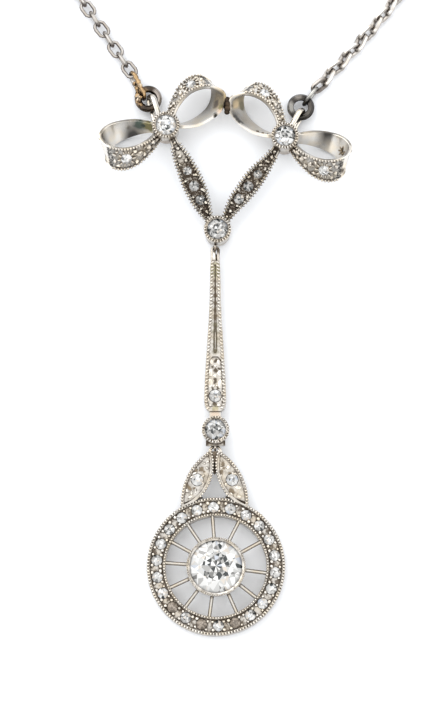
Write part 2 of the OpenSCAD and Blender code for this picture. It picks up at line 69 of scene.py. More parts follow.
class Field:
    """One output of a shader node. Sums and products of fields add Math nodes."""

    def __init__(self, tree, socket):
        self.tree = tree
        self.socket = socket

    def node(self, kind, settings, inputs, output=0):
        made = self.tree.nodes.new("ShaderNode" + kind)
        for name, value in settings.items():
            setattr(made, name, value)
        feed(made, inputs)
        return Field(self.tree, made.outputs[output])

    def maths(self, operation, *values):
        return self.node("Math", {"operation": operation}, dict(enumerate(values)))

    def __add__(self, other):
        return self.maths("ADD", self, other)

    def __sub__(self, other):
        return self.maths("SUBTRACT", self, other)

    def __rsub__(self, other):
        return self.maths("SUBTRACT", other, self)

    def __mul__(self, other):
        return self.maths("MULTIPLY", self, other)

    __radd__ = __add__
    __rmul__ = __mul__

    def rising(self, low, high):
        """0 up to low, 1 from high on, and smooth between them."""
        inputs = {"Value": self, "From Min": low, "From Max": high}
        return self.node("MapRange", {"interpolation_type": "SMOOTHSTEP"}, inputs)

    def tint(self, first, second):
        """The first colour where this field is 0 and the second where it is 1."""
        first, second = [colour if isinstance(colour, Field) else (*colour, 1) for colour in (first, second)]
        return self.node("Mix", {"data_type": "RGBA"}, {0: self, 6: first, 7: second}, output=2)


def feed(shader, values):
    """Links or sets the sockets of a shader node."""
    for name, value in values.items():
        if isinstance(value, Field):
            value.tree.links.new(value.socket, shader.inputs[name])
        else:
            shader.inputs[name].default_value = value


def as_mesh(bm, name):
    """Ends the making of a form and gives it as a mesh."""
    mesh = bpy.data.meshes.new(name)
    bm.to_mesh(mesh)
    bm.free()
    return mesh


board_size = 1.5
board_gap = 0.00002
bm = bmesh.new()
bmesh.ops.create_grid(bm, x_segments=1, y_segments=1, size=board_size,
                      matrix=Matrix.Translation((0, 0, -board_gap)))
board_mesh = as_mesh(bm, "board")
board_white = bpy.data.materials.new("board_white")
board_white.use_nodes = True
feed(board_white.node_tree.nodes["Principled BSDF"], {
    "Base Color": (0.9, 0.92, 0.95, 1), "Roughness": 0.9, "Specular IOR Level": 0.1,
    "Emission Color": (1, 1, 1, 1), "Emission Strength": 0.065})
board_mesh.materials.append(board_white)
board = bpy.data.objects.new("board", board_mesh)
bpy.context.scene.collection.objects.link(board)

window_way = (-0.5, 0.45, 0.74)
sky = bpy.data.worlds.new("studio")
sky.use_nodes = True
bpy.context.scene.world = sky
sky_up = Field(sky.node_tree, sky.node_tree.nodes.new("ShaderNodeTexCoord").outputs["Generated"])
sky_height = sky_up.node("SeparateXYZ", {}, {0: sky_up}, output="Z")
window_side = sky_up.node("VectorMath", {"operation": "DOT_PRODUCT"}, {0: sky_up, 1: window_way},
                          output="Value")
sky_light = 0.5 + 1.15 * sky_height.rising(0.2, 0.6) - 0.55 * sky_height.rising(0.88, 0.97)
sky_light = sky_light + 1.0 * window_side.rising(0.84, 0.95)
sky_colour = sky_light.node("CombineXYZ", {}, {0: sky_light, 1: sky_light, 2: sky_light})
feed(sky.node_tree.nodes["Background"], {"Color": sky_colour})

# The round drop. A flat ring with a stone-set channel, twelve knife-edge spokes and a collet for
# the centre stone, sawn and soldered from white metal, its edges rolled with fine beads. Sizes of
# the jewel are in millimetres from the drop's centre on the board.
MM = 0.001
chance = random.Random(11)


def blank_finish(name):
    """A new material, its main shader and the place on the piece that patterns are drawn by."""
    material = bpy.data.materials.new(name)
    material.use_nodes = True
    tree = material.node_tree
    place = Field(tree, tree.nodes.new("ShaderNodeTexCoord").outputs["Object"])
    return material, tree.nodes["Principled BSDF"], place


# Noise scales are per metre, and stain_edge is how far a stain's edge wanders, in millimetres.
cloud_scale = 900
grit_scale = 6500
curd_scale = 2600
stain_scale = 2400
stain_edge = 0.4
bump_height = 0.00004
clean_white = (0.78, 0.745, 0.69)
yellowed = (0.76, 0.68, 0.56)
patina_brown = (0.1, 0.078, 0.058)


def near(shaken, spot, radius):
    """1 at a spot and 0 from the radius on, with a ragged edge."""
    spot = drop_at + (Vector(spot) + Vector((0.5, 0.5, 0.5)) * stain_edge) * MM
    away = shaken.node("VectorMath", {"operation": "DISTANCE"}, {0: shaken, 1: spot}, output="Value")
    return 1 - away.rising(0.2 * radius * MM, radius * MM)


def worn_metal(name, clean=clean_white, warm=yellowed, patina=patina_brown, depth=1.0, shine=0.16,
               reach=0.0003, skin=0.05, sides=0.75, rubbed_lit=0.75, beds=(), stains=()):
    """Polished metal that has yellowed in clouds and gone dark wherever a cloth doesn't reach.

    sides is how dark the steep sides are painted, partly as wear and partly as painted shade, and a
    face that turns up by more than the rubbed limit is clean and lit. beds are rows of the height of
    a floor that holds dirt and how much, and stains are rows of a spot, its radius and its colour. A
    mesh can carry more dirt, as speckles in soil, and an even film that holds dirt, painted shade and
    painted reflections.
    """
    material, shader, place = blank_finish(name)
    cloud, grit, curd = [
        place.node("TexNoise", {}, {"Vector": place, "Scale": scale, "Detail": 3}, output="Fac")
        for scale in (cloud_scale, grit_scale, curd_scale)]
    shaken = place.node("TexNoise", {}, {"Vector": place, "Scale": stain_scale, "Detail": 2}, output="Color")
    shaken = shaken.node("VectorMath", {"operation": "MULTIPLY_ADD"},
                         {0: shaken, 1: [stain_edge * MM] * 3, 2: place})
    openness = place.node("AmbientOcclusion", {"samples": 8}, {"Distance": reach}, output="AO")
    facing = place.node("NewGeometry", {}, {}, output="Normal")
    facing = facing.node("SeparateXYZ", {}, {0: facing}, output="Z")
    soil = place.node("Attribute", {"attribute_name": "soil"}, {}, output="Fac")
    haze_and_shade = place.node("Attribute", {"attribute_name": "haze_and_shade"}, {}, output="Fac")
    height = place.node("SeparateXYZ", {}, {0: place}, output="Z")
    for bed, share in beds:
        above = height.rising((bed - 0.06) * MM, (bed - 0.03) * MM)
        below = 1 - height.rising((bed + 0.02) * MM, (bed + 0.05) * MM)
        haze_and_shade = haze_and_shade + share * above * below * (0.3 + 1.2 * curd.rising(0.42, 0.62))
    corners = (1 - openness).rising(0.05, 0.55) * (0.5 + grit)
    specks = soil * (0.35 + 1.1 * grit.rising(0.38, 0.62))
    # Steep sides are painted darker, partly as wear and partly as painted shade; faces turned up are left
    # clean and lit.
    side_shade_and_wear = sides * (1 - facing.rising(rubbed_lit - 0.6, rubbed_lit))
    darkening = (corners + specks + haze_and_shade + side_shade_and_wear) * depth
    colour = cloud.rising(0.38, 0.68).tint(clean, warm)
    for spot, radius, stain in stains:
        colour = (near(shaken, spot, radius) * (1.1 + 0.6 * grit)).tint(colour, stain)
    bump = place.node("Bump", {}, {"Height": grit, "Strength": skin, "Distance": bump_height})
    feed(shader, {"Base Color": darkening.tint(colour, patina), "Metallic": 1.0, "Normal": bump,
                  "Roughness": shine + 0.1 * grit + 0.2 * darkening})
    return material


white_gold = worn_metal("white_gold")
# Dark pits in the leaves, which are one piece with the ring. Rows: x, y and radius.
leaf_dark_spots = [
    (-1.75, 8.55, 0.16), (-1.3, 8.7, 0.2), (-1.05, 8.5, 0.14), (-2.65, 7.2, 0.2), (-2.4, 7.0, 0.22),
    (-1.95, 6.95, 0.16), (0.66, 9.16, 0.16), (0.45, 8.45, 0.2), (0.7, 8.78, 0.16), (1.33, 6.82, 0.22),
    (1.5, 6.6, 0.16), (1.2, 8.3, 0.16)]
leaf_dark = [((x, y, 1.5), r * 1.5, (0.3, 0.24, 0.17)) for x, y, r in leaf_dark_spots]
# At the bridge between the leaves: a brown mark where they are soldered, partly painted shade, and below it a
# dark patch of painted shade in the gap.
leaf_bridge_stains_and_shade = [
    ((-0.12, 10.0, 1.45), 0.7, (0.4, 0.33, 0.25)), ((-0.12, 9.3, 1.3), 0.4, (0.12, 0.09, 0.06))]
drop_beds = [(1.31, 0.6), (1.45, 0.25), (1.5, 0.3), (1.6, 0.25), (2.55, 0.4)]
drop_metal = worn_metal("drop_metal", sides=0.5, beds=drop_beds, stains=leaf_dark + leaf_bridge_stains_and_shade)


def hand_over(mesh, name, finish, slot, nodes):
    """Makes a mesh a finished piece of the one body. It stands for nodes of the frame, if any."""
    mesh.materials.append(finish)
    piece = bpy.data.objects.new(name, mesh)
    bpy.context.scene.collection.objects.link(piece)
    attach(piece, "root")
    if nodes:
        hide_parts(*nodes)


def settle(bm, name, finish, slot="white_metal", nodes=(), edge=35):
    """Brings a form to its place as a piece. edge is the angle from which its edges are sharp."""
    bmesh.ops.scale(bm, vec=(MM, MM, MM), verts=bm.verts)
    bmesh.ops.translate(bm, vec=drop_at, verts=bm.verts)
    bmesh.ops.recalc_face_normals(bm, faces=bm.faces)
    mesh = as_mesh(bm, name)
    mesh.polygons.foreach_set("use_smooth", [True] * len(mesh.polygons))
    mesh.set_sharp_from_angle(angle=radians(edge))
    hand_over(mesh, name, finish, slot, nodes)


def refinish(node, finish):
    """Gives a piece of the frame its finish."""
    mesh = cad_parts[node].data
    mesh.materials.clear()
    mesh.materials.append(finish)


def turned(degrees, axis="Z"):
    """A turn about an axis."""
    return Matrix.Rotation(radians(degrees), 4, axis)


def turns(count):
    """Even turns all the way round, in radians."""
    return [2 * pi * k / count for k in range(count)]


def ring_line(centre, radius, z, steps):
    """Points round a circle that lies flat."""
    x, y = centre[:2]
    return [Vector((x + radius * cos(a), y + radius * sin(a), z)) for a in turns(steps)]


def join(bm, part):
    """Adds a small form to a bigger one."""
    mesh = as_mesh(part, "part")
    bm.from_mesh(mesh)
    bpy.data.meshes.remove(mesh)


stud_batch = 30


def raise_studs(bm, studs, rough=0.1):
    """Small raised lumps of metal, each with a place, a turn about the vertical and its half-widths.

    rough is how uneven they are. They are made a few at a time, because that is quicker.
    """
    for first in range(0, len(studs), stud_batch):
        few = bmesh.new()
        for place, turn, sizes in studs[first:first + stud_batch]:
            place = Vector(place)
            shape = Matrix.Translation(place) @ Matrix.Rotation(turn, 4, "Z") @ Matrix.Diagonal((*sizes, 1))
            made = bmesh.ops.create_uvsphere(few, u_segments=8, v_segments=5, radius=1, matrix=shape)
            for vert in made["verts"]:
                vert.co = place.lerp(vert.co, chance.uniform(1 - rough, 1 + rough))
        join(bm, few)


def ring_teeth(bm, centre, radius, z, pitch, sizes):
    """Milgrain round a circle: its beads are a little longer outwards than along."""
    spots = ring_line(centre, radius, z, round(2 * pi * radius / pitch))
    raise_studs(bm, [(spot, a, sizes) for spot, a in zip(spots, turns(len(spots)))])


ring_r = drop_r / MM
ring_top_z = 1.45
channel_in_r = 4.5
bead_r = 0.135
bead_pitch = 0.27
rim_tooth_in = 0.11
rim_tooth = (0.16, 0.112, 0.12)
channel_tooth_out = 0.12
channel_pitch = bead_pitch * 0.93
channel_tooth = (0.13, 0.1, 0.11)
centre_at = (0, -0.15)
centre_collet_r = 2.56
centre_rim_z = 2.55
bezel_pitch = bead_pitch * 0.78
bezel_tooth = (0.1, 0.075, 0.065)
bm = bmesh.new()
ring_teeth(bm, (0, 0), ring_r - rim_tooth_in, ring_top_z, bead_pitch, rim_tooth)
ring_teeth(bm, (0, 0), channel_in_r + channel_tooth_out, ring_top_z, channel_pitch, channel_tooth)
settle(bm, "drop_milgrain", white_gold)
bezel_gold = worn_metal("bezel_gold", (0.62, 0.585, 0.535), (0.6, 0.54, 0.45), depth=0.7)
bm = bmesh.new()
ring_teeth(bm, centre_at, centre_collet_r, centre_rim_z, bezel_pitch, bezel_tooth)
settle(bm, "bezel_milgrain", bezel_gold)
refinish("disc_frame", drop_metal)

spoke_turns = [27, 61, 97.5, 128, 156, 187.5, 217, 245, 274, 299, 326, 356]
spoke_mid_r = 3.55
spoke_length = 1.96
spoke_top_z = 1.36
spoke_w = 0.33
spoke_foot = 0.04
# The flat foot beside each spoke's ridge is painted darker than the lit ridge: painted shade.
spoke_foot_shade = 0.95
spoke_ridge = 0.1
ridge_share = 0.35
bm = bmesh.new()
foot_shade = bm.verts.layers.float.new("haze_and_shade")
for turn in spoke_turns:
    spoke_at = turned(-turn) @ Matrix.Translation((0, spoke_mid_r, spoke_top_z - spoke_foot / 2))
    made = bmesh.ops.create_cube(bm, size=1,
                                 matrix=spoke_at @ Matrix.Diagonal((spoke_w, spoke_length, spoke_foot, 1)))
    for vert in made["verts"]:
        vert[foot_shade] = spoke_foot_shade
    sides = {face for vert in made["verts"] for face in vert.link_faces}
    top = max(sides, key=lambda face: face.calc_center_median().z)
    rise = bmesh.ops.extrude_face_region(bm, geom=[top])["geom"]
    ridge = [vert for vert in rise if isinstance(vert, bmesh.types.BMVert)]
    bmesh.ops.translate(bm, vec=(0, 0, spoke_ridge), verts=ridge)
    for vert in ridge:
        vert[foot_shade] = 0
    narrower = spoke_at @ Matrix.Diagonal((ridge_share, 1, 1, 1)) @ spoke_at.inverted()
    bmesh.ops.transform(bm, matrix=narrower, verts=ridge)
    bmesh.ops.delete(bm, geom=[top], context="FACES_ONLY")
settle(bm, "spoke_ridges", white_gold, edge=20)

# The stones of the drop. The big one is an old hand-cut brilliant, the 22 round it are small
# single cuts, three of them clouded, each held by grains raised from the ring with a graver.
glitter_shades = [
    (0.84, 0.84, 0.83), (0.68, 0.68, 0.67), (0.52, 0.52, 0.51), (0.37, 0.365, 0.355), (0.19, 0.188, 0.182),
    (0.04, 0.045, 0.045), (0.5, 0.53, 0.58), (0.6, 0.55, 0.49)]
clouded_shades = [(0.36, 0.31, 0.26), (0.25, 0.21, 0.17), (0.15, 0.125, 0.1)]
heart_share = 0.5
dull_reach = 0.7
# What each facet throws back is a colour on the facet.
clear_stone, stone_shader, stone_place = blank_finish("clear_stone")
thrown_back = stone_place.node("Attribute", {"attribute_name": "glitter"}, {}, output="Color")
feed(stone_shader, {"Base Color": thrown_back, "Roughness": 0.05, "IOR": 1.6})


def islands(bm):
    """The separate stones of a mesh, each a list of faces. They come in order of y, the same each run."""
    found = set()
    for first in sorted(bm.faces, key=lambda face: face.calc_center_median().y):
        if first in found:
            continue
        stone = {first}
        edge = {first}
        while edge:
            edge = {f for face in edge for e in face.edges for f in e.link_faces} - stone
            stone |= edge
        found |= stone
        yield list(stone)


def sparkle(node, name, shades, planes=4, depth=(0, 0.3), heart=None, dull=()):
    """Copies a stone from the frame and splits its crown as the facets below show through it.

    planes is how many ways round it is cut, and depth how far out, as shares of its reach. heart
    gives its middle shades of their own, and dull lists the places of clouded stones.
    """
    bm = bmesh.new()
    bm.from_mesh(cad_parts[node].data)
    bmesh.ops.remove_doubles(bm, verts=bm.verts, dist=1e-7)
    bmesh.ops.dissolve_limit(bm, angle_limit=radians(1), verts=bm.verts, edges=bm.edges)
    for stone in list(islands(bm)):
        table = max(stone, key=lambda f: f.calc_area() if f.normal.z > 0.2 else 0)
        axis = table.normal.copy()
        centre = table.calc_center_median()
        reach = max((v.co - centre).cross(axis).length for f in stone for v in f.verts)
        side = (table.verts[0].co - centre).normalized()
        crown = [f for f in stone if f.normal.dot(axis) > 0.15]
        start = chance.uniform(0, 0.3)
        for k in range(planes):
            for share in depth:
                turn = Matrix.Rotation(start + 2 * pi * (k + 0.5 * share) / planes, 3, axis)
                out = turn @ side
                on_plane = centre + out * reach * share * chance.uniform(0.85, 1.15)
                edges = {e for f in crown for e in f.edges}
                corners = {v for f in crown for v in f.verts}
                cut = bmesh.ops.bisect_plane(bm, geom=crown + list(edges) + list(corners), dist=1e-8,
                                             plane_no=out, plane_co=on_plane)
                made = {part for part in cut["geom"] if isinstance(part, bmesh.types.BMFace)}
                crown = [f for f in set(crown) | made if f.is_valid]
    mesh = as_mesh(bm, name)
    glitter = mesh.attributes.new("glitter", "FLOAT_COLOR", "FACE")
    middle = sum((v.co for v in mesh.vertices), Vector()) / len(mesh.vertices)
    widest = max((v.co - middle).length for v in mesh.vertices)
    colours = []
    for face in mesh.polygons:
        in_heart = heart and (face.center - middle).to_2d().length < heart_share * widest
        if any((face.center - spot).to_2d().length < dull_reach * MM for spot in dull):
            colours += chance.choices(clouded_shades)
        else:
            colours += chance.choices(glitter_shades, weights=heart if in_heart else shades)
    glitter.data.foreach_set("color", [part for colour in colours for part in (*colour, 1)])
    hand_over(mesh, name, clear_stone, "stone", [node])


def roll_beads(bm, places, radius, height=0.85):
    """Milgrain: a row of beads rolled into the metal with a small wheel, no two quite alike."""
    sizes = [radius * chance.uniform(0.88, 1.1) for place in places]
    raise_studs(bm, [(place, 0, (size, size, size * height)) for place, size in zip(places, sizes)])


# How often each shade of glitter is drawn, for each look of a stone.
bright_stone = [26, 30, 22, 11, 5, 2, 3, 10]
bright_heart = [10, 14, 18, 18, 18, 24, 6, 3]
patched_heart = [7, 9, 15, 18, 20, 36, 6, 3]
crisp_stone = [30, 14, 12, 10, 10, 20, 4, 2]
streaky_stone = [10, 14, 18, 18, 12, 14, 12, 2]
grey_stone = [16, 22, 22, 16, 9, 4, 3, 8]
ring_stone = [8, 18, 26, 20, 10, 4, 3, 11]
misty_stone = [8, 16, 24, 22, 12, 8, 4, 6]
dark_stone = [2, 6, 12, 22, 26, 24, 0, 6]
smoky_stone = [3, 0, 3, 14, 42, 30, 0, 8]
dull_turns = [163, 194, 228]
dull_line_r = 5.3
dull_spots = [drop_at + turned(-turn) @ Vector((0, dull_line_r * MM, 0)) for turn in dull_turns]
sparkle("centre_stone", "centre_diamond", bright_stone, 7, (0, 0.2, 0.38, 0.6), heart=patched_heart)
sparkle("halo_stones", "ring_diamonds", ring_stone, planes=3, dull=dull_spots)

ring_stones = 22
first_stone_turn = 14
stone_line_r = 5.305
grain_r = 0.17
grain_side = 0.5
grain_reach = 0.37
grain_z = 1.37
bm = bmesh.new()
for k in range(ring_stones):
    stone_way = turned(-first_stone_turn - 360 * k / ring_stones)
    for side in (-1, 1):
        for reach in (-1, 1):
            spot = Vector((side * grain_side, stone_line_r + reach * grain_reach, grain_z))
            roll_beads(bm, [stone_way @ spot], grain_r * chance.uniform(0.8, 1.1))
settle(bm, "ring_grains", white_gold)

# The leaves. Two small pointed leaves, each a sunk floor with a stone and grains inside a beaded
# rim, are soldered on to join the drop to a small plain ring. Dark lumps in the crevice at each
# leaf's foot and in the gap between the leaves are painted shade.
leaf_mirror_x = -0.12
leaf_outer = (Vector((2.29, 5.75, 0)), 5.39)
leaf_inner = (Vector((-4.4, 9.09, 0)), 4.13)
leaf_face_z = 1.6
leaf_tooth = (0.17, 0.095, 0.12)
leaf_tooth_in = 0.09
leaf_gap = 0.25
arc_steps = 360
leaf_grain_metal = worn_metal("leaf_grain_metal", patina=(0.26, 0.21, 0.16), skin=0.1)
leaf_lumps = [
    (-2.6, 6.75, 0.2), (-2.2, 6.55, 0.17), (-1.82, 6.8, 0.16), (-2.2, 8.0, 0.17), (-1.9, 8.35, 0.18),
    (-1.6, 8.8, 0.18), (-1.1, 8.1, 0.15), (-1.15, 7.45, 0.15), (-2.35, 6.2, 0.17), (-1.1, 9.25, 0.15),
    (-0.8, 8.8, 0.13), (-0.75, 9.4, 0.12), (0.42, 8.1, 0.15), (0.85, 7.3, 0.18), (1.95, 7.1, 0.2),
    (1.05, 8.9, 0.18), (0.5, 9.45, 0.13), (1.4, 6.45, 0.17), (2.05, 6.3, 0.18), (0.55, 8.9, 0.12),
    (1.6, 8.35, 0.16)]


def evenly(line, pitch):
    """Places about one pitch apart along a line of points."""
    steps = [(b - a).length for a, b in zip(line, line[1:])]
    count = max(1, round(sum(steps) / pitch))
    places = []
    for k in range(count + 1):
        left = sum(steps) * k / count
        i = 0
        while i < len(steps) - 1 and left > steps[i]:
            left -= steps[i]
            i += 1
        places.append(line[i].lerp(line[i + 1], left / steps[i]))
    return places


def inside_arc(arc, other, inset):
    """The stretch of one leaf edge that bounds the leaf, as points a little inside it."""
    centre, radius = arc
    line = ring_line(centre, radius - inset, leaf_face_z, arc_steps)
    on = [(p - other[0]).to_2d().length < other[1] - inset * 0.6 and p.to_2d().length > ring_r + leaf_gap
          for p in line]
    first = next(k for k in range(arc_steps) if on[k] and not on[k - 1])
    places = [(first + k) % arc_steps for k in range(arc_steps)]
    return [line[k] for k in places if on[k]]


bm = bmesh.new()
for mirrored in (False, True):
    made = bmesh.new()
    for spot in evenly(inside_arc(leaf_outer, leaf_inner, leaf_tooth_in), bead_pitch):
        out = spot - leaf_outer[0]
        raise_studs(made, [(spot, atan2(out.y, out.x), leaf_tooth)])
    roll_beads(made, evenly(inside_arc(leaf_inner, leaf_outer, 0), bead_pitch), bead_r * 0.85)
    if mirrored:
        bmesh.ops.scale(made, vec=(-1, 1, 1), verts=made.verts,
                        space=Matrix.Translation((-leaf_mirror_x, 0, 0)))
    join(bm, made)
raise_studs(bm, [((x, y, leaf_face_z - 0.12), chance.uniform(0, 3), (r * 1.45, r * 0.85, 0.1))
                 for x, y, r in leaf_lumps], rough=0.35)
settle(bm, "leaf_milgrain", leaf_grain_metal)

# Painted shade: dark lumps in the crevice along each leaf's foot.
crevice_r = 6.25
crevice_turns = [(-29, -12), (9, 26)]
crevice_lumps = 13
crevice_lump = (0.16, 0.085, 0.07)
crevice_shade = worn_metal("crevice_shade", (0.05, 0.04, 0.03), (0.08, 0.06, 0.045), (0.02, 0.016, 0.012), shine=0.5)
bm = bmesh.new()
for first, last in crevice_turns:
    crevice = [radians(first + (last - first) * k / (crevice_lumps - 1)) for k in range(crevice_lumps)]
    raise_studs(bm, [((crevice_r * sin(a), crevice_r * cos(a), leaf_face_z - 0.09), -a, crevice_lump)
                     for a in crevice], rough=0.2)
settle(bm, "leaf_crevice_shade", crevice_shade, "dark_metal")
# Painted shade: a dark lump under the gap where the two leaves meet.
gap_shade_lump = ((leaf_mirror_x, 8.9, 1.15), 0, (0.3, 0.65, 0.08))
joint_grime_and_shade = worn_metal("joint_grime_and_shade", (0.15, 0.12, 0.09), (0.23, 0.18, 0.13), (0.05, 0.04, 0.03), shine=0.5)
bm = bmesh.new()
raise_studs(bm, [gap_shade_lump])
settle(bm, "leaf_gap_shade", joint_grime_and_shade, "dark_metal")
for side in ("left", "right"):
    sparkle(f"leaf_stone_{side}", f"leaf_diamond_{side}", misty_stone)
refinish("drop_ring", white_gold)

# The bar. A tapering bar with a beaded rail along each edge, a sunk groove, a set foot and a
# collet soldered below it. Dark solder lies by the hook that it hangs from.
bar_x = -0.07
bar_face_z = 1.5
bar_rows = [
    (27.6, 0.8), (25.9, 0.96), (24.1, 1.02), (22.3, 1.18), (20.4, 1.42), (18.6, 1.66), (16.8, 1.88),
    (15.2, 1.98), (14.6, 1.9), (14.25, 1.6)]
bed_z = bar_face_z - 0.14
bar_rail_in = 0.17
bar_bead_pitch = 0.31
lower_collet_at = (-0.04, 12.19)
lower_rim_z = 2.3
collet_edge_r = 1.13
collet_tooth_pitch = 0.255
collet_tooth = (0.15, 0.09, 0.12)
bar_grain_metal = worn_metal("bar_grain_metal", patina=(0.3, 0.26, 0.21), sides=0.5, skin=0.1)
bed_grains = [
    (0, 18.1, 0.13, 0.13), (-0.03, 17.2, 0.15, 0.15), (-0.1, 16.32, 0.12, 0.12), (0.12, 16.32, 0.1, 0.1),
    (-0.1, 14.3, 0.13, 0.12), (-0.4, 18.5, 0.2, 0.3), (-0.46, 17.5, 0.24, 0.4), (-0.5, 16.55, 0.25, 0.42),
    (0.36, 18.45, 0.18, 0.28), (0.42, 17.45, 0.24, 0.36), (0.5, 16.5, 0.27, 0.55), (-0.7, 15.75, 0.12, 0.2),
    (0.64, 15.6, 0.12, 0.2), (-0.66, 15.05, 0.12, 0.22), (0.62, 15.0, 0.12, 0.22),
    (-0.45, 14.5, 0.18, 0.14), (0.36, 14.5, 0.18, 0.14)]
rail_stud = (0.2, 0.1, 0.11)
rail_lean = radians(28)
groove_ridge = ((bar_x, 20.6, bed_z), 0, (0.05, 1.2, 0.08))
hook_lump = ((bar_x - 0.1, 28.2, 1.2), 0, (0.2, 0.6, 0.16))
hook_dark = ((bar_x + 0.1, 28.0, 1.16), 0, (0.1, 0.5, 0.1))
bm = bmesh.new()
for side in (-1, 1):
    rail = [Vector((bar_x + side * (w / 2 - bar_rail_in), y, bar_face_z)) for y, w in bar_rows]
    raise_studs(bm, [(spot, -side * rail_lean, rail_stud) for spot in evenly(rail, bar_bead_pitch)])
raise_studs(bm, [((bar_x + x, y, bed_z), chance.uniform(-0.15, 0.15), (rx, ry, 0.06 + 0.3 * rx ** 2))
                 for x, y, rx, ry in bed_grains], rough=0.22)
raise_studs(bm, [groove_ridge, hook_lump])
settle(bm, "bar_milgrain", bar_grain_metal)
bm = bmesh.new()
raise_studs(bm, [hook_dark])
settle(bm, "hook_solder", joint_grime_and_shade, "dark_metal")
bm = bmesh.new()
ring_teeth(bm, lower_collet_at, collet_edge_r, lower_rim_z - 0.02, collet_tooth_pitch, collet_tooth)
settle(bm, "lower_milgrain", white_gold)
bed_dark = [((bar_x + x, y, bed_z), r, (0.14, 0.115, 0.085)) for x, y, r in [
    (0, 18.5, 0.26), (0.1, 18.65, 0.2), (-0.02, 17.75, 0.26), (0.05, 17.6, 0.24), (0, 16.85, 0.26),
    (0.02, 16.65, 0.24), (-0.05, 14.62, 0.26), (-0.25, 16.1, 0.2), (0.25, 16.1, 0.2), (-0.3, 18.05, 0.2),
    (0.32, 17.9, 0.18)]]
groove_dark = [((bar_x, 22.6 + 0.65 * k, 1.3), 0.42, (0.19, 0.145, 0.09)) for k in range(7)]
groove_olive = [((bar_x, 19.4 + 0.6 * k, 1.25), 0.5, (0.27, 0.25, 0.16)) for k in range(5)]
bar_ends = [
    ((bar_x, 26.9, 1.4), 1.0, (0.5, 0.47, 0.3)), ((bar_x - 0.1, 28.4, 1.3), 1.1, (0.58, 0.53, 0.47)),
    ((bar_x + 0.4, 28.75, 1.3), 0.5, (0.1, 0.08, 0.06)), ((bar_x, 14.2, 1.5), 0.5, (0.58, 0.53, 0.36)),
    ((bar_x, 13.7, 1.4), 0.6, (0.8, 0.66, 0.53)), ((-0.9, 11.0, 1.4), 0.36, patina_brown),
    ((0.85, 11.0, 1.4), 0.36, patina_brown)]
bar_metal = worn_metal("bar_metal", sides=0.5, beds=[(bed_z, 0.15), (1.5, 0.2), (2.3, 0.7)],
                       stains=bed_dark + groove_dark + groove_olive + bar_ends)
refinish("bar", bar_metal)
sparkle("bar_stone", "bar_diamond", misty_stone)
sparkle("lower_stone", "lower_diamond", streaky_stone, 6, (0, 0.25, 0.5), heart=dark_stone)

# The bows. Two bows of plain ribbon, each loop one strip bent round on itself: the front run is
# set and beaded on its outer face, and the back run shows its plain polished inner face.
loop_rows = [
    [0.8, 0.6, 2.35, 0.98, -0.05, 1.45], [1.4, 1.0, 2.05, 1.4, 0.35, 0.9], [2.5, 1.45, 1.9, 2.5, 0.5, 0.4],
    [3.7, 1.6, 1.9, 3.7, 0.42, 0.1], [4.9, 1.5, 2.0, 4.7, 0.12, 0.1], [5.8, 1.05, 2.2, 5.45, -0.45, 0.32],
    [6.25, 0.3, 2.5, 5.95, -1.25, 0.65], [5.95, -0.45, 2.8, 5.9, -2.1, 1.1],
    [5.15, -1.1, 3.0, 5.3, -2.75, 1.45], [4.1, -1.45, 3.1, 4.3, -3.05, 1.62],
    [3.0, -1.45, 3.1, 3.1, -2.8, 1.72], [1.9, -1.12, 2.95, 2.0, -2.15, 1.78],
    [1.3, -0.78, 2.8, 1.15, -1.45, 1.8], [0.9, -0.42, 2.65, 0.58, -0.86, 1.85]]
knot_left = Vector((-4.53, 39.95, 0))
knot_right = Vector((6.25, 38.93, 0))
loops = [(knot_left, 191, True), (knot_left, 33, True), (knot_right, 141, False), (knot_right, -12, False)]
# Dirt on the floor along a loop, and painted reflections and painted shade on the plain back of its
# back run. Floor rows are a place along it and an amount, and back rows are a place and the amounts
# at the top and low edges.
loop_floor_dirt = [
    (0, 0), (7.3, 0), (7.42, 1.3), (7.75, 1.2), (7.95, 0.3), (8.3, 0.08), (12, 0.12), (13, 0.5)]
loop_back_reflections = [
    [(0, 0, 0), (0.9, 0.05, 0.1), (1.3, 0.3, 0.5), (1.8, 0.4, 0.8), (2.3, 0.5, 1.2), (2.7, 0.5, 1.15),
     (3.0, 0.35, 0.75), (3.6, 0.1, 0), (4.2, 0, -0.1), (4.8, 0, 0), (5.2, 0.4, 0.4), (5.7, 0.8, 1.0),
     (6.3, 0.8, 1.2), (7, 0.4, 0.7), (13, 0.2, 0.2)],
    [(0, 0.15, 0.1), (2, 0.3, 0.2), (2.9, 0.05, 0.6), (3.6, 0.2, 0.85), (4.4, 0.05, 0.9), (5.2, 0.3, 0.9),
     (6, 0.8, 0.7), (7, 0.7, 0.5), (8, 0.2, 0.2), (13, 0.2, 0.2)],
    [(0, 0.1, 0.2), (1.5, 0.2, 0.2), (2.5, 0.1, 0.3), (3.4, 0.75, 0.2), (4.2, 0.95, 0.1), (4.7, 0.7, 0),
     (5.0, 0.1, 0), (5.4, 0.05, 0.2), (6, 0.6, 0.5), (7, 0.6, 0.5), (13, 0.2, 0.2)],
    [(0, 0.0, 0.3), (1.2, 0.05, 0.3), (2, 0.2, 0.4), (2.5, 0.7, 0.6), (2.9, 1.1, 0.5), (3.3, 1.0, 0.3),
     (3.45, 0.8, 0.1), (3.55, 0.05, 0), (5, 0.05, 0), (5.6, 0.3, 0.2), (6.2, 0.5, 0.6), (13, 0.2, 0.2)]]
ribbon_thick = 0.34
ribbon_rim = 0.2
ribbon_sunk = 0.1
ribbon_steps = 8
RibbonPlace = namedtuple("RibbonPlace", "low up out along width")


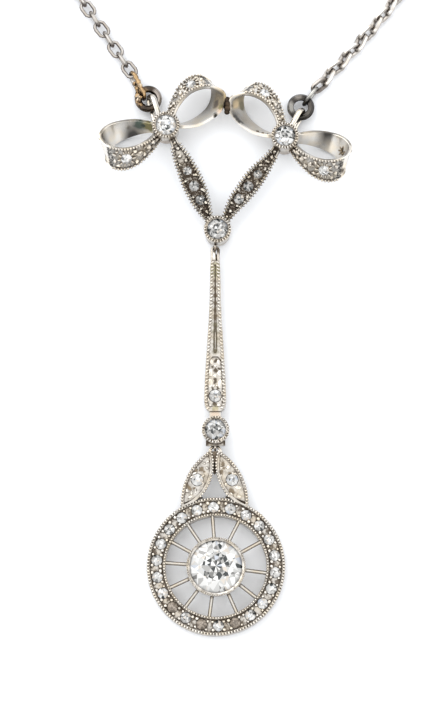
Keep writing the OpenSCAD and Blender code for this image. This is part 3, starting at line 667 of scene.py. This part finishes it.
def at_row(rows, t):
    """The smooth curve through the rows of a table, t counted in rows."""
    i = min(int(t), len(rows) - 2)
    f = t - i
    row = [Vector(r) for r in rows]
    b, c = row[i], row[i + 1]
    a = row[i - 1] if i > 0 else 2 * b - c
    d = row[i + 2] if i + 2 < len(row) else 2 * c - b
    return b + f / 2 * (c - a + f * (2 * a - 5 * b + 4 * c - d + f * (3 * b - a - 3 * c + d)))


def ribbon_frame(rows, t):
    """The place at t on a ribbon, with the ways up it, outwards and along it."""
    here = at_row(rows, t)
    low = Vector(here[3:6])
    up = Vector(here[0:3]) - low
    before = at_row(rows, max(t - 0.05, 0))
    after = at_row(rows, min(t + 0.05, len(rows) - 1))
    along = (Vector(after[0:3]) + Vector(after[3:6]) - Vector(before[0:3]) - Vector(before[3:6])).normalized()
    width = up.length
    up.normalize()
    return RibbonPlace(low, up, up.cross(along).normalized(), along, width)


def ribbon_section(rows, t, thick):
    """Two round rims, a sunk floor between them and a flat back."""
    at = ribbon_frame(rows, t)
    rim = min(ribbon_rim, at.width * 0.3)
    side = [(0.03, -thick), (0, -thick + 0.05), (0, -0.07), (0.05, 0), (rim * 0.7, 0), (rim, -ribbon_sunk)]
    profile = side + [(at.width - w, n) for w, n in reversed(side)]
    return [at.low + at.up * w + at.out * n for w, n in profile]


def sweep(bm, sections, closed=False, marks=()):
    """Draws out a section along a path: its edges are extruded from each place to the next.

    marks tells how dirty each point of each section is: the name of the dirt, then its sections.
    """
    layers = [bm.verts.layers.float.get(name) or bm.verts.layers.float.new(name) for name, amounts in marks]
    ring = [bm.verts.new(place) for place in sections[0]]
    rings = [ring]
    edges = [bm.edges.new((ring[i - 1], ring[i])) for i in range(len(ring))]
    for section in sections[1:] + (sections[:1] if closed else []):
        made = bmesh.ops.extrude_edge_only(bm, edges=edges)["geom"]
        new = {v.co.copy().freeze(): v for v in made if isinstance(v, bmesh.types.BMVert)}
        edges = [e for e in made if isinstance(e, bmesh.types.BMEdge)]
        ring = [new[v.co.copy().freeze()] for v in ring]
        for vert, place in zip(ring, section):
            vert.co = place
        rings.append(ring)
    for layer, (name, sheets) in zip(layers, marks):
        for line, amounts in zip(rings, sheets):
            for vert, amount in zip(line, amounts):
                vert[layer] = amount
    if closed:
        bmesh.ops.remove_doubles(bm, verts=rings[0] + ring, dist=1e-5)
    else:
        bm.faces.new(rings[0])
        bm.faces.new(ring)


def on_table(table, t):
    """The values at t in a table whose rows are a place and its values."""
    for low, high in zip(table, table[1:]):
        if t <= high[0]:
            share = (t - low[0]) / (high[0] - low[0])
            return [a + (b - a) * share for a, b in zip(low[1:], high[1:])]
    return table[-1][1:]


def ribbon(bm, rows, thick, place, floor_dirt, back_shading):
    """One strip of ribbon along its rows, with dirt on its floor and painted reflections and shade on its
    back.
    """
    sections = []
    soils = []
    back_shades = []
    for k in range((len(rows) - 1) * ribbon_steps + 1):
        t = k / ribbon_steps
        sections.append([place @ point for point in ribbon_section(rows, t, thick)])
        floor, = on_table(floor_dirt, t)
        top, low = on_table(back_shading, t)
        soils.append([0] * 5 + [floor, floor] + [0] * 5)
        back_shades.append([low, low] + [0] * 8 + [top, top])
    sweep(bm, sections, marks=[("soil", soils), ("haze_and_shade", back_shades)])


def loop_place(loop):
    """Where a loop goes, from its knot, the turn of its fold and whether it is mirrored."""
    knot, turn, mirrored = loop
    return Matrix.Translation(knot) @ turned(turn) @ Matrix.Diagonal((1, -1 if mirrored else 1, 1, 1))


ribbon_white = (0.72, 0.69, 0.645)
# Marks on the ribbons: tarnish and gold stains, with painted shade and painted reflections where the inner
# faces turn under the front runs and along their low edges.
ribbon_stains_and_shade = [
    ((-6.95, 40.3, 1.7), 0.85, (0.07, 0.11, 0.085)), ((-6.15, 40.15, 1.85), 0.85, (0.22, 0.195, 0.085)),
    ((-6.65, 40.28, 1.72), 0.3, (0.03, 0.05, 0.035)), ((-7.97, 40.41, 1.2), 0.5, (0.2, 0.17, 0.14)),
    ((0.3, 42.8, 1.9), 1.6, (0.46, 0.36, 0.21)), ((0.05, 42.35, 1.45), 0.55, (0.14, 0.105, 0.07)),
    ((0.55, 41.6, 2.1), 0.6, (0.8, 0.62, 0.48)), ((0.41, 41.94, 2.2), 0.4, (0.3, 0.26, 0.12)),
    ((2.1, 42.9, 1.5), 1.4, (0.42, 0.34, 0.21)), ((2.38, 42.4, 0.8), 0.7, (0.24, 0.21, 0.14)),
    ((1.85, 42.3, 1.8), 0.75, (0.7, 0.55, 0.34)), ((1.02, 42.15, 2.0), 0.8, (0.05, 0.035, 0.025)),
    ((-0.05, 41.12, 2.02), 0.36, (0.03, 0.025, 0.02)), ((1.78, 41.05, 2.05), 0.26, (0.05, 0.045, 0.04)),
    ((1.98, 40.82, 2.03), 0.3, (0.04, 0.035, 0.03)), ((2.2, 40.6, 2.0), 0.3, (0.04, 0.035, 0.03)),
    ((2.42, 40.42, 1.97), 0.24, (0.06, 0.055, 0.05)), ((-1.18, 44.5, 3.0), 0.6, (0.12, 0.1, 0.09)),
    ((-9.93, 37.6, 1.4), 0.45, (0.1, 0.08, 0.06)), ((8.61, 35.96, 2.4), 0.4, (0.1, 0.08, 0.06)),
    ((11.46, 36.15, 1.6), 0.4, (0.1, 0.08, 0.06)), ((3.8, 39.3, 1.0), 0.8, (0.7, 0.55, 0.34))]
ribbon_metal = worn_metal("ribbon_metal", ribbon_white, patina=(0.075, 0.07, 0.064), skin=0.01, shine=0.1,
                          sides=0, stains=ribbon_stains_and_shade)
bm = bmesh.new()
for loop, back_shading in zip(loops, loop_back_reflections):
    ribbon(bm, loop_rows, ribbon_thick, loop_place(loop), loop_floor_dirt, back_shading)
settle(bm, "bow_loops", ribbon_metal, nodes=["bow_frame"], edge=30)

# Beads and grains of the loops. The rims of each front run are rolled with beads, and round its
# stone are a star of bright cuts and a few raised grains. Rough gold solder burrs were left on
# one back run.
beaded_from = 7.8
beaded_to = 13.0
bead_in = 0.07
loop_teeth = 19
loop_tooth = (0.13, 0.1, 0.13)
loop_tooth_in = 0.08
loop_stone_row = 9.1
loop_grains = [
    (8.05, 0.66, 0.17), (8.05, 0.36, 0.18), (8.35, 0.82, 0.17), (8.4, 0.18, 0.17), (9.85, 0.78, 0.2),
    (9.9, 0.22, 0.2), (10.2, 0.55, 0.27), (10.65, 0.28, 0.2), (10.75, 0.77, 0.18), (11.1, 0.5, 0.28),
    (11.6, 0.3, 0.2), (11.8, 0.65, 0.22), (12.3, 0.5, 0.24)]
loop_grain_metal = worn_metal("loop_grain_metal", (0.65, 0.61, 0.55), patina=(0.25, 0.2, 0.15),
                              sides=0.6, skin=0.1)
rim_steps = 60
star_turns = turns(10)
star_reach = (0.66, 0, 0.02)
star_cut = (0.2, 0.08, 0.12)


def ribbon_spot(rows, t, share, lift):
    """A place on the ribbon's outer face: share is 0 at its low edge and 1 at its top edge."""
    at = ribbon_frame(rows, t)
    return at.low + at.up * at.width * share + at.out * lift


def ribbon_line(rows, start, stop, inset, top):
    """A line along one rim of the ribbon."""
    line = []
    for k in range(rim_steps + 1):
        at = ribbon_frame(rows, start + (stop - start) * k / rim_steps)
        line.append(at.low + at.up * (at.width - inset if top else inset))
    return line


def raise_star(bm, place, row, share, lift, ray_turns, reach, sizes):
    """A star of long low lumps round a spot on the ribbon of the loop at a place."""
    at = ribbon_frame(loop_rows, row)
    middle = Matrix((at.along, at.up, at.out)).transposed().to_4x4()
    middle.translation = ribbon_spot(loop_rows, row, share, lift)
    rays = bmesh.new()
    for turn in ray_turns:
        ray = Matrix.Rotation(turn, 4, "Z") @ Matrix.Translation(reach) @ Matrix.Diagonal((*sizes, 1))
        bmesh.ops.create_uvsphere(rays, u_segments=8, v_segments=5, radius=1, matrix=place @ middle @ ray)
    join(bm, rays)


bm = bmesh.new()
for loop in loops:
    place = loop_place(loop)
    line = [place @ p for p in ribbon_line(loop_rows, beaded_from, beaded_to, bead_in, True)]
    roll_beads(bm, evenly(line, bead_pitch), bead_r, height=1)
    for k in range(loop_teeth):
        at = ribbon_frame(loop_rows, beaded_from + (beaded_to - beaded_from) * k / loop_teeth)
        across = place.to_3x3() @ at.up
        spot = place @ (at.low + at.up * loop_tooth_in)
        raise_studs(bm, [(spot, atan2(across.y, across.x), loop_tooth)])
    spots = [(place @ ribbon_spot(loop_rows, t, share, -0.1), r) for t, share, r in loop_grains]
    raise_studs(bm, [(spot, chance.uniform(0, 3), (r * 1.2, r, r * 0.8)) for spot, r in spots], rough=0.28)
    raise_star(bm, place, loop_stone_row, 0.5, -ribbon_sunk, star_turns, star_reach, star_cut)
settle(bm, "loop_milgrain", loop_grain_metal)

burr_row = 4.95
burr_turns = [2 * pi * (k + chance.uniform(-0.2, 0.2)) / 7 for k in range(7)]
burr_reach = (0.3, 0, 0)
burr_ray = (0.32, 0.064, 0.096)
burr_lumps = [(3.75, 39.66, 1.75), (4.22, 39.45, 1.85), (4.7, 39.3, 1.9)]
burr_gold = worn_metal("burr_gold", (0.5, 0.4, 0.26), (0.3, 0.22, 0.13), (0.06, 0.045, 0.03), sides=0.5)
bm = bmesh.new()
raise_star(bm, loop_place(loops[3]), burr_row, 0.45, -ribbon_thick, burr_turns, burr_reach, burr_ray)
raise_studs(bm, [(spot, chance.uniform(0, 3), (0.2, 0.15, 0.15)) for spot in burr_lumps], rough=0.25)
settle(bm, "solder_burrs", burr_gold, "bronze_metal")
for k in range(1, 5):
    sparkle(f"loop_stone_{k}", f"loop_diamond_{k}", grey_stone)

# The tails. From each knot a tapering strip of white gold runs down to the middle collet, with
# three stones and a coarse raised bead edge, dark with age between the teeth.
left_tail = [
    [-4.35, 39.0, -3.75, 39.32, 2.3], [-4.05, 38.25, -3.4, 38.6, 2.25], [-3.75, 36.95, -2.72, 37.7, 2.2],
    [-3.4, 35.85, -2.0, 36.6, 2.1], [-2.95, 34.55, -1.42, 35.5, 2.0], [-2.3, 33.3, -0.92, 34.3, 1.9],
    [-1.65, 32.3, -0.62, 33.2, 1.8], [-0.95, 31.5, -0.42, 31.9, 1.7], [-0.72, 31.0, -0.25, 31.4, 1.6]]
right_tail = [
    [5.38, 38.5, 5.9, 38.0, 2.3], [4.98, 37.9, 5.55, 37.3, 2.25], [4.35, 37.2, 5.02, 36.35, 2.2],
    [3.4, 36.35, 4.48, 35.35, 2.1], [2.6, 35.45, 3.85, 34.4, 2.0], [1.85, 34.35, 3.0, 33.35, 1.9],
    [1.2, 33.3, 2.15, 32.5, 1.8], [0.72, 32.0, 1.25, 31.55, 1.7], [0.55, 31.4, 1.0, 31.0, 1.6]]
tails = [[[a, b, z, c, d, z] for a, b, c, d, z in rows] for rows in (left_tail, right_tail)]
tail_thick = 0.5
floor_top_dirt = (0.1, 0.95)
# The tails get no painted reflections on their backs.
unshaded_back = [(0, 0, 0), (8, 0, 0)]
toothed_from = 1.2
toothed_to = 7.7
tooth_in = 0.05
tooth_pitch = 0.31
tail_places = [1 + k / 20 for k in range(130)]
tooth = (0.25, 0.09, 0.14)
tail_grains = [
    (0.9, 0.5, 0.15), (1.45, 0.45, 0.17), (2.0, 0.55, 0.18), (2.5, 0.3, 0.15), (2.6, 0.75, 0.14),
    (3.75, 0.2, 0.17), (3.8, 0.8, 0.15), (4.9, 0.18, 0.17), (4.95, 0.82, 0.17), (5.95, 0.25, 0.16),
    (6.05, 0.72, 0.15), (6.5, 0.45, 0.16), (7.0, 0.5, 0.14)]
tail_stains = [((-3.75, 38.4, 2.2), 1.3, (0.78, 0.73, 0.66)), ((-3.2, 37.3, 2.2), 0.9, (0.74, 0.69, 0.61))]
aged_gold = worn_metal("aged_gold", (0.64, 0.6, 0.535), (0.5, 0.435, 0.34), (0.06, 0.046, 0.035), depth=1.1,
                       reach=0.0004, stains=tail_stains)
bm = bmesh.new()
for rows, top_dirt in zip(tails, floor_top_dirt):
    floor_dirt = [(0, top_dirt), (2, top_dirt), (3.2, 1.3), (8, 1.5)]
    ribbon(bm, rows, tail_thick, Matrix.Identity(4), floor_dirt, unshaded_back)
settle(bm, "bow_tails", aged_gold, nodes=["bow_frame"], edge=30)
bm = bmesh.new()
for rows in tails:
    for top in (True, False):
        for spot in evenly(ribbon_line(rows, toothed_from, toothed_to, tooth_in, top), tooth_pitch):
            beside = min(tail_places, key=lambda t: (ribbon_spot(rows, t, 0.5, 0) - spot).length)
            up = ribbon_frame(rows, beside).up
            raise_studs(bm, [(spot, atan2(up.y, up.x), tooth)])
    raise_studs(bm, [(ribbon_spot(rows, t, share, -0.04), chance.uniform(0, 3), (r * 1.3, r, r * 0.9))
                     for t, share, r in tail_grains], rough=0.28)
settle(bm, "tail_teeth", aged_gold)
tail_shades = [dark_stone, dark_stone, smoky_stone, smoky_stone, dark_stone, dark_stone]
for k, shades in enumerate(tail_shades, start=1):
    sparkle(f"tail_stone_{k}", f"tail_diamond_{k}", shades)

# The three upper collets. Each is a tapered tube with its top edge rubbed over the stone and
# rolled with beads: one hides each knot and one joins the tails to the bar.
collet_rim_r = 1.22
dull_heart = [8, 12, 16, 16, 16, 14, 4, 2]
collet_spots = [(knot_left, 3.4, 2.7), (knot_right, 3.4, 2.7), (Vector((0.14, 30.48, 0)), 2.5, 2.3)]


def spun(bm, centre, profile, steps=48):
    """A turned form: a profile of rows of distance from the axis, height and dirt, spun round it."""
    soil = bm.verts.layers.float.get("soil") or bm.verts.layers.float.new("soil")
    points = [bm.verts.new(centre + Vector((r, 0, z))) for r, z, darkening in profile]
    for point, (r, z, darkening) in zip(points, profile):
        point[soil] = darkening
    line = [bm.edges.new(pair) for pair in zip(points, points[1:] + points[:1])]
    bmesh.ops.spin(bm, geom=points + line, cent=centre, axis=(0, 0, 1), angle=2 * pi, steps=steps,
                   use_merge=True)


bm = bmesh.new()
for spot, rim_z, height in collet_spots:
    foot_r = collet_rim_r * 0.92
    spun(bm, spot + Vector((0, 0, rim_z)), [
        (foot_r, -height, 0), (collet_rim_r, -0.5, 0), (collet_rim_r, -0.06, 0.5),
        (collet_rim_r - 0.1, 0, 0.9), (0.97, 0, 0.5), (0.94, -0.03, 0.9), (1.03, -0.15, 1),
        (1.03, -0.42, 1), (0.75, -0.7, 1), (foot_r - 0.26, -height, 0)])
    ring_teeth(bm, spot, collet_edge_r, rim_z - 0.02, collet_tooth_pitch, collet_tooth)
collet_stains = [
    (knot_left + Vector((0.1, -1.2, 1.3)), 1.1, (0.52, 0.42, 0.34)),
    (knot_right + Vector((0, -1.2, 1.3)), 1.1, (0.56, 0.48, 0.4)),
    ((-0.7, 29.6, 1.0), 0.8, (0.34, 0.29, 0.24)), ((0.9, 29.6, 1.0), 0.6, (0.4, 0.34, 0.27))]
collet_metal = worn_metal("collet_metal", sides=0.35, stains=collet_stains)
settle(bm, "upper_collets", collet_metal, nodes=["bow_frame"])
chance.seed(4)
sparkle("knot_stone_left", "knot_diamond_left", bright_stone, 6, (0, 0.25, 0.5), heart=bright_heart)
sparkle("knot_stone_right", "knot_diamond_right", crisp_stone, 6, (0, 0.25, 0.5), heart=dull_heart)
sparkle("junction_stone", "junction_diamond", dull_heart, 6, (0, 0.25, 0.5), heart=dark_stone)

# Bails, lug and solder. A bent wire loop behind each knot takes a jump ring, a lug below the
# middle collet takes the bar's hook, and a dark lump of solder ties the two bows.
bail_wire = 0.27
bail_wide = 0.5
bail_height = 1.22
bail_z = 0.75
lug_foot = (bar_x, 28.63, 1.2)
lug_size = 0.84
lug_wire = 0.22
bails = [(knot_left + Vector((-0.72, 0.8, 0)), knot_left + Vector((-1.5, 3.4, 0)), 20),
         (knot_right + Vector((0.51, 0.98, 0)), knot_right + Vector((1.69, 3.08, 0)), -12)]


def oval_wire(bm, place, length, height, wire, wide=None, steps=24, sides=10):
    """A link of wire bent to an oval in the local XY plane, from the origin along X.

    The wire is round, or flattened to the given width across the plane.
    """
    half_wide = (wide or wire) / 2
    sections = []
    for k in range(steps):
        a = 2 * pi * (k + 0.5) / steps
        out = Vector((cos(a), sin(a), 0))
        middle = Vector((length / 2 + copysign((length - height) / 2, out.x), 0, 0))
        sections.append([place @ (middle + out * ((height - wire) / 2 + wire / 2 * cos(q))
                                  + Vector((0, 0, half_wide * sin(q)))) for q in turns(sides)])
    sweep(bm, sections, closed=True)


bm = bmesh.new()
for start, end, lean in bails:
    way = end - start
    heading = Matrix.Rotation(atan2(way.y, way.x), 4, "Z") @ turned(90 + lean, "X")
    place = (Matrix.Translation(start + Vector((0, 0, bail_z))) @ heading
             @ Matrix.Translation((-bail_wire / 2, 0, 0)))
    oval_wire(bm, place, way.length + bail_wire, bail_height + bail_wire, bail_wire, wide=bail_wide)
oval_wire(bm, Matrix.Translation(lug_foot) @ turned(90) @ turned(90, "X"), lug_size, lug_size, lug_wire)
lug_stain = ((bar_x, 28.7, 1.3), 0.8, (0.22, 0.18, 0.14))
bail_metal = worn_metal("bail_metal", ribbon_white, stains=[lug_stain])
settle(bm, "bails", bail_metal, nodes=["bow_frame"])

solder_lumps = [
    ((1.02, 42.55, 2.15), 0.32), ((1.12, 42.2, 2.12), 0.38), ((1.08, 41.8, 2.05), 0.36),
    ((1.0, 41.5, 1.95), 0.26)]
solder_dark = worn_metal("solder_dark", (0.045, 0.034, 0.026), (0.1, 0.07, 0.045), (0.015, 0.012, 0.01),
                         shine=0.4)
bm = bmesh.new()
for spot, r in solder_lumps:
    bmesh.ops.create_icosphere(bm, subdivisions=3, radius=r, matrix=Matrix.Translation(spot))
settle(bm, "bow_solder", solder_dark, "dark_metal", nodes=["bow_frame"])

# Jump rings and end links. A stout bronze-brown ring on the left and a blackened one with drawn
# grooves on the right, each with the chain's last link through it. Old solder is lumped along
# the left link.
# Marks on the left end link: silver where its metal shows low down, and small dark and bright spots along it
# that are painted shade and painted highlights.
bronze_stains_and_highlights = [
    ((-7.35, 44.3, 0.4), 0.6, (0.5, 0.46, 0.41)), ((-7.6, 45.0, 0.3), 0.85, (0.56, 0.53, 0.49)),
    ((-7.9, 45.6, 0.6), 0.7, (0.58, 0.55, 0.51)), ((-6.4, 43.1, 0.8), 0.45, (0.16, 0.1, 0.06)),
    ((-7.0, 44.7, 1.2), 0.4, (0.12, 0.08, 0.05)), ((-6.6, 43.9, 1.3), 0.35, (0.16, 0.1, 0.06)),
    ((-7.5, 45.4, 1.1), 0.35, (0.14, 0.1, 0.07)), ((-7.15, 43.0, 1.1), 0.35, (0.46, 0.38, 0.29)),
    ((-6.85, 44.25, 1.3), 0.3, (0.75, 0.66, 0.52)), ((-6.8, 43.4, 1.2), 0.22, (0.1, 0.065, 0.04)),
    ((-7.0, 42.65, 1.1), 0.25, (0.12, 0.08, 0.05))]
bronze = worn_metal("bronze", (0.5, 0.34, 0.18), (0.25, 0.16, 0.09), (0.05, 0.035, 0.025), shine=0.2,
                    sides=0.7, skin=0.15, stains=bronze_stains_and_highlights)
# Marks on the left ring: bronze and dark brown where the end link meets it, and painted highlights on its
# right arc.
brown_stains_and_highlights = [
    ((-7.0, 43.5, 0.9), 0.95, (0.42, 0.28, 0.15)), ((-7.2, 42.8, 0.9), 0.7, (0.24, 0.17, 0.11)),
    ((-5.3, 43.5, 0.95), 0.7, (0.34, 0.3, 0.27)), ((-5.1, 42.9, 0.95), 0.5, (0.4, 0.36, 0.32))]
ring_brown = worn_metal("ring_brown", (0.05, 0.04, 0.033), (0.11, 0.085, 0.065), (0.012, 0.01, 0.008),
                        skin=0.1, stains=brown_stains_and_highlights)
# Lighter streaks on the right ring: wear on the ridges of its grooves, with painted highlights.
black_wear_and_highlights = [((6.75, 42.2, 1.0), 0.7, (0.28, 0.27, 0.25)), ((7.5, 43.3, 1.0), 0.5, (0.22, 0.2, 0.18))]
black_silver = worn_metal("black_silver", (0.05, 0.046, 0.042), (0.09, 0.082, 0.074), (0.01, 0.009, 0.008),
                          shine=0.14, skin=0.1, stains=black_wear_and_highlights)
half_black = worn_metal("half_black", (0.56, 0.55, 0.52), (0.34, 0.32, 0.29), (0.015, 0.013, 0.012),
                        shine=0.15, sides=0.9, stains=[((8.2, 42.7, 0.8), 1.1, (0.05, 0.047, 0.042))])
# Rows: the ring, its finish and slot, and how deep and how many its grooves are.
jump_rings = [("jump_ring_left", ring_brown, "bronze_metal", 0.012, 4),
              ("jump_ring_right", black_silver, "dark_metal", 0.03, 5)]
wire_sides = 36
for node, finish, slot, groove, grooves in jump_rings:
    low, high = [Vector(corner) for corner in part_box(node)]
    middle = ((low + high) / 2 - drop_at) / MM
    wire_r = (high.z - low.z) / 2 / MM
    ring_mid_r = (high.x - low.x) / 2 / MM - wire_r
    section = []
    for a in turns(wire_sides):
        r = wire_r - groove + groove * cos(grooves * a)
        section.append((ring_mid_r + r * cos(a), r * sin(a), 0))
    bm = bmesh.new()
    spun(bm, middle, section, steps=64)
    settle(bm, node + "_wire", finish, slot, nodes=[node])
refinish("end_link_left", bronze)
refinish("end_link_right", half_black)

link_ridge = [(-6.35 - 0.454 * x, 43.0 + 0.891 * x, 1.28) for x in (0.85, 1.3, 1.75, 2.15)]
ridge_turn = radians(117)
link_lumps = [
    ((-6.88, 43.7, 1.05), 0.26), ((-6.9, 43.15, 1.0), 0.24), ((-7.12, 42.85, 0.98), 0.22),
    ((-6.96, 42.5, 0.98), 0.22), ((-7.2, 43.3, 0.9), 0.26), ((-7.2, 44.05, 0.85), 0.26),
    ((-7.4, 44.5, 0.8), 0.22), ((-7.12, 43.65, 0.85), 0.24)]
bm = bmesh.new()
raise_studs(bm, [(spot, ridge_turn, (0.42, 0.25, 0.23)) for spot in link_ridge], rough=0.15)
raise_studs(bm, [(spot, chance.uniform(0, 3), (r * 1.3, r, r)) for spot, r in link_lumps], rough=0.25)
settle(bm, "link_solder", bronze, "bronze_metal")

# The chain. Fine silver trace chain of oval wire links, each turned a quarter from the last: face
# on and edge on in turn on the left, leaning either way on the right. Routes are in metres.
left_route = [
    (-0.008, 0.04585), (-0.012, 0.0519), (-0.018, 0.0607), (-0.026, 0.0725), (-0.034, 0.0844),
    (-0.0415, 0.0955), (-0.048, 0.106), (-0.053, 0.1175), (-0.0557, 0.1295), (-0.0555, 0.142),
    (-0.052, 0.155), (-0.0455, 0.1665), (-0.036, 0.1765), (-0.025, 0.184), (-0.014, 0.1883), (-0.005, 0.19)]
right_route = [
    (0.00955, 0.0444), (0.014, 0.0493), (0.018, 0.0545), (0.024, 0.0632), (0.031, 0.0748), (0.038, 0.0875),
    (0.0445, 0.1005), (0.05, 0.112), (0.054, 0.124), (0.0558, 0.1365), (0.055, 0.149), (0.0505, 0.161),
    (0.0435, 0.171), (0.034, 0.1795), (0.023, 0.1858), (0.013, 0.1889), (0.005, 0.19)]
link_width = 1.32
# The inner side of each link's wire is made darker by this much.
link_inner_darkening = 0.8
chain_z = 0.65
clasp_z = 1.05
rising_links = 5
route_steps = 12
chain_silver = worn_metal("chain_silver", (0.66, 0.635, 0.6), (0.52, 0.47, 0.42), (0.14, 0.115, 0.1),
                          shine=0.14, sides=1.1, rubbed_lit=0.97)
chain_bright = worn_metal("chain_bright", (0.8, 0.765, 0.72), (0.66, 0.6, 0.54), (0.19, 0.165, 0.145),
                          shine=0.14, sides=0.5, rubbed_lit=0.85)


def one_link(pitch, wire, darkening):
    """The link that the chain is made from, clean or dirty: its ends touch those of its neighbours."""
    bm = bmesh.new()
    length = pitch + 2 * wire
    oval_wire(bm, Matrix.Translation((-length / 2, 0, 0)), length, link_width, wire, steps=14, sides=6)
    haze_and_shade = bm.verts.layers.float.new("haze_and_shade")
    straight = (length - link_width) / 2
    for vert in bm.verts:
        nearest = Vector((min(max(vert.co.x, -straight), straight), 0, 0))
        inward = ((link_width - wire) / 2 - (vert.co - nearest).length) / (wire / 2)
        vert[haze_and_shade] = darkening + link_inner_darkening * max(inward, 0)
    return as_mesh(bm, "link")


def chain_run(side, route, start, end, pitch, wire, rolls, sway, first_dirt, finish):
    """Lays links one pitch apart along a route, from the front to the clasp.

    rolls are how the links lean in turn, and sway how far they swing to either side in turn.
    """
    rows = [Vector((x, y, 0)) / MM for x, y in route]
    line = [at_row(rows, k / route_steps) for k in range((len(rows) - 1) * route_steps + 1)]
    spots = evenly([Vector(start)] + line + [Vector(end)], pitch)
    last = len(spots) - 1
    clean_link = one_link(pitch, wire, 0)
    dirty_link = one_link(pitch, wire, first_dirt)
    bm = bmesh.new()
    bm.verts.layers.float.new("haze_and_shade")
    for k, spot in enumerate(spots):
        way = (spots[min(k + 1, last)] - spots[max(k - 1, 0)]).normalized()
        height = chain_z + (clasp_z - chain_z) * max(0, 1 - (last - k) / rising_links)
        roll = rolls[k % 2] + chance.uniform(-7, 7)
        swing = radians((sway if k % 2 else -sway) + chance.uniform(-3, 3))
        place = (Matrix.Translation(spot + Vector((0, 0, height)))
                 @ Matrix.Rotation(atan2(way.y, way.x) + swing, 4, "Z")
                 @ turned(roll, "X"))
        shaped = (clean_link if k else dirty_link).copy()
        shaped.transform(place)
        bm.from_mesh(shaped)
        bpy.data.meshes.remove(shaped)
    bpy.data.meshes.remove(clean_link)
    bpy.data.meshes.remove(dirty_link)
    settle(bm, f"trace_chain_{side}", finish, "chain_metal", nodes=[f"chain_{side}"])


chain_run("left", left_route, start=(-7.95, 45.83, 0), end=(-4.6, 190, 0), pitch=1.156, wire=0.32,
          rolls=(0, 90), sway=0, first_dirt=0.15, finish=chain_silver)
chain_run("right", right_route, start=(9.53, 44.35, 0), end=(4.6, 190, 0), pitch=1.112, wire=0.42,
          rolls=(46, -46), sway=12, first_dirt=0.6, finish=chain_bright)

# The clasp. A plain barrel at the back of the neck, turned from white metal, with a ring at each
# end for the last link of the chain.
refinish("clasp", white_gold)
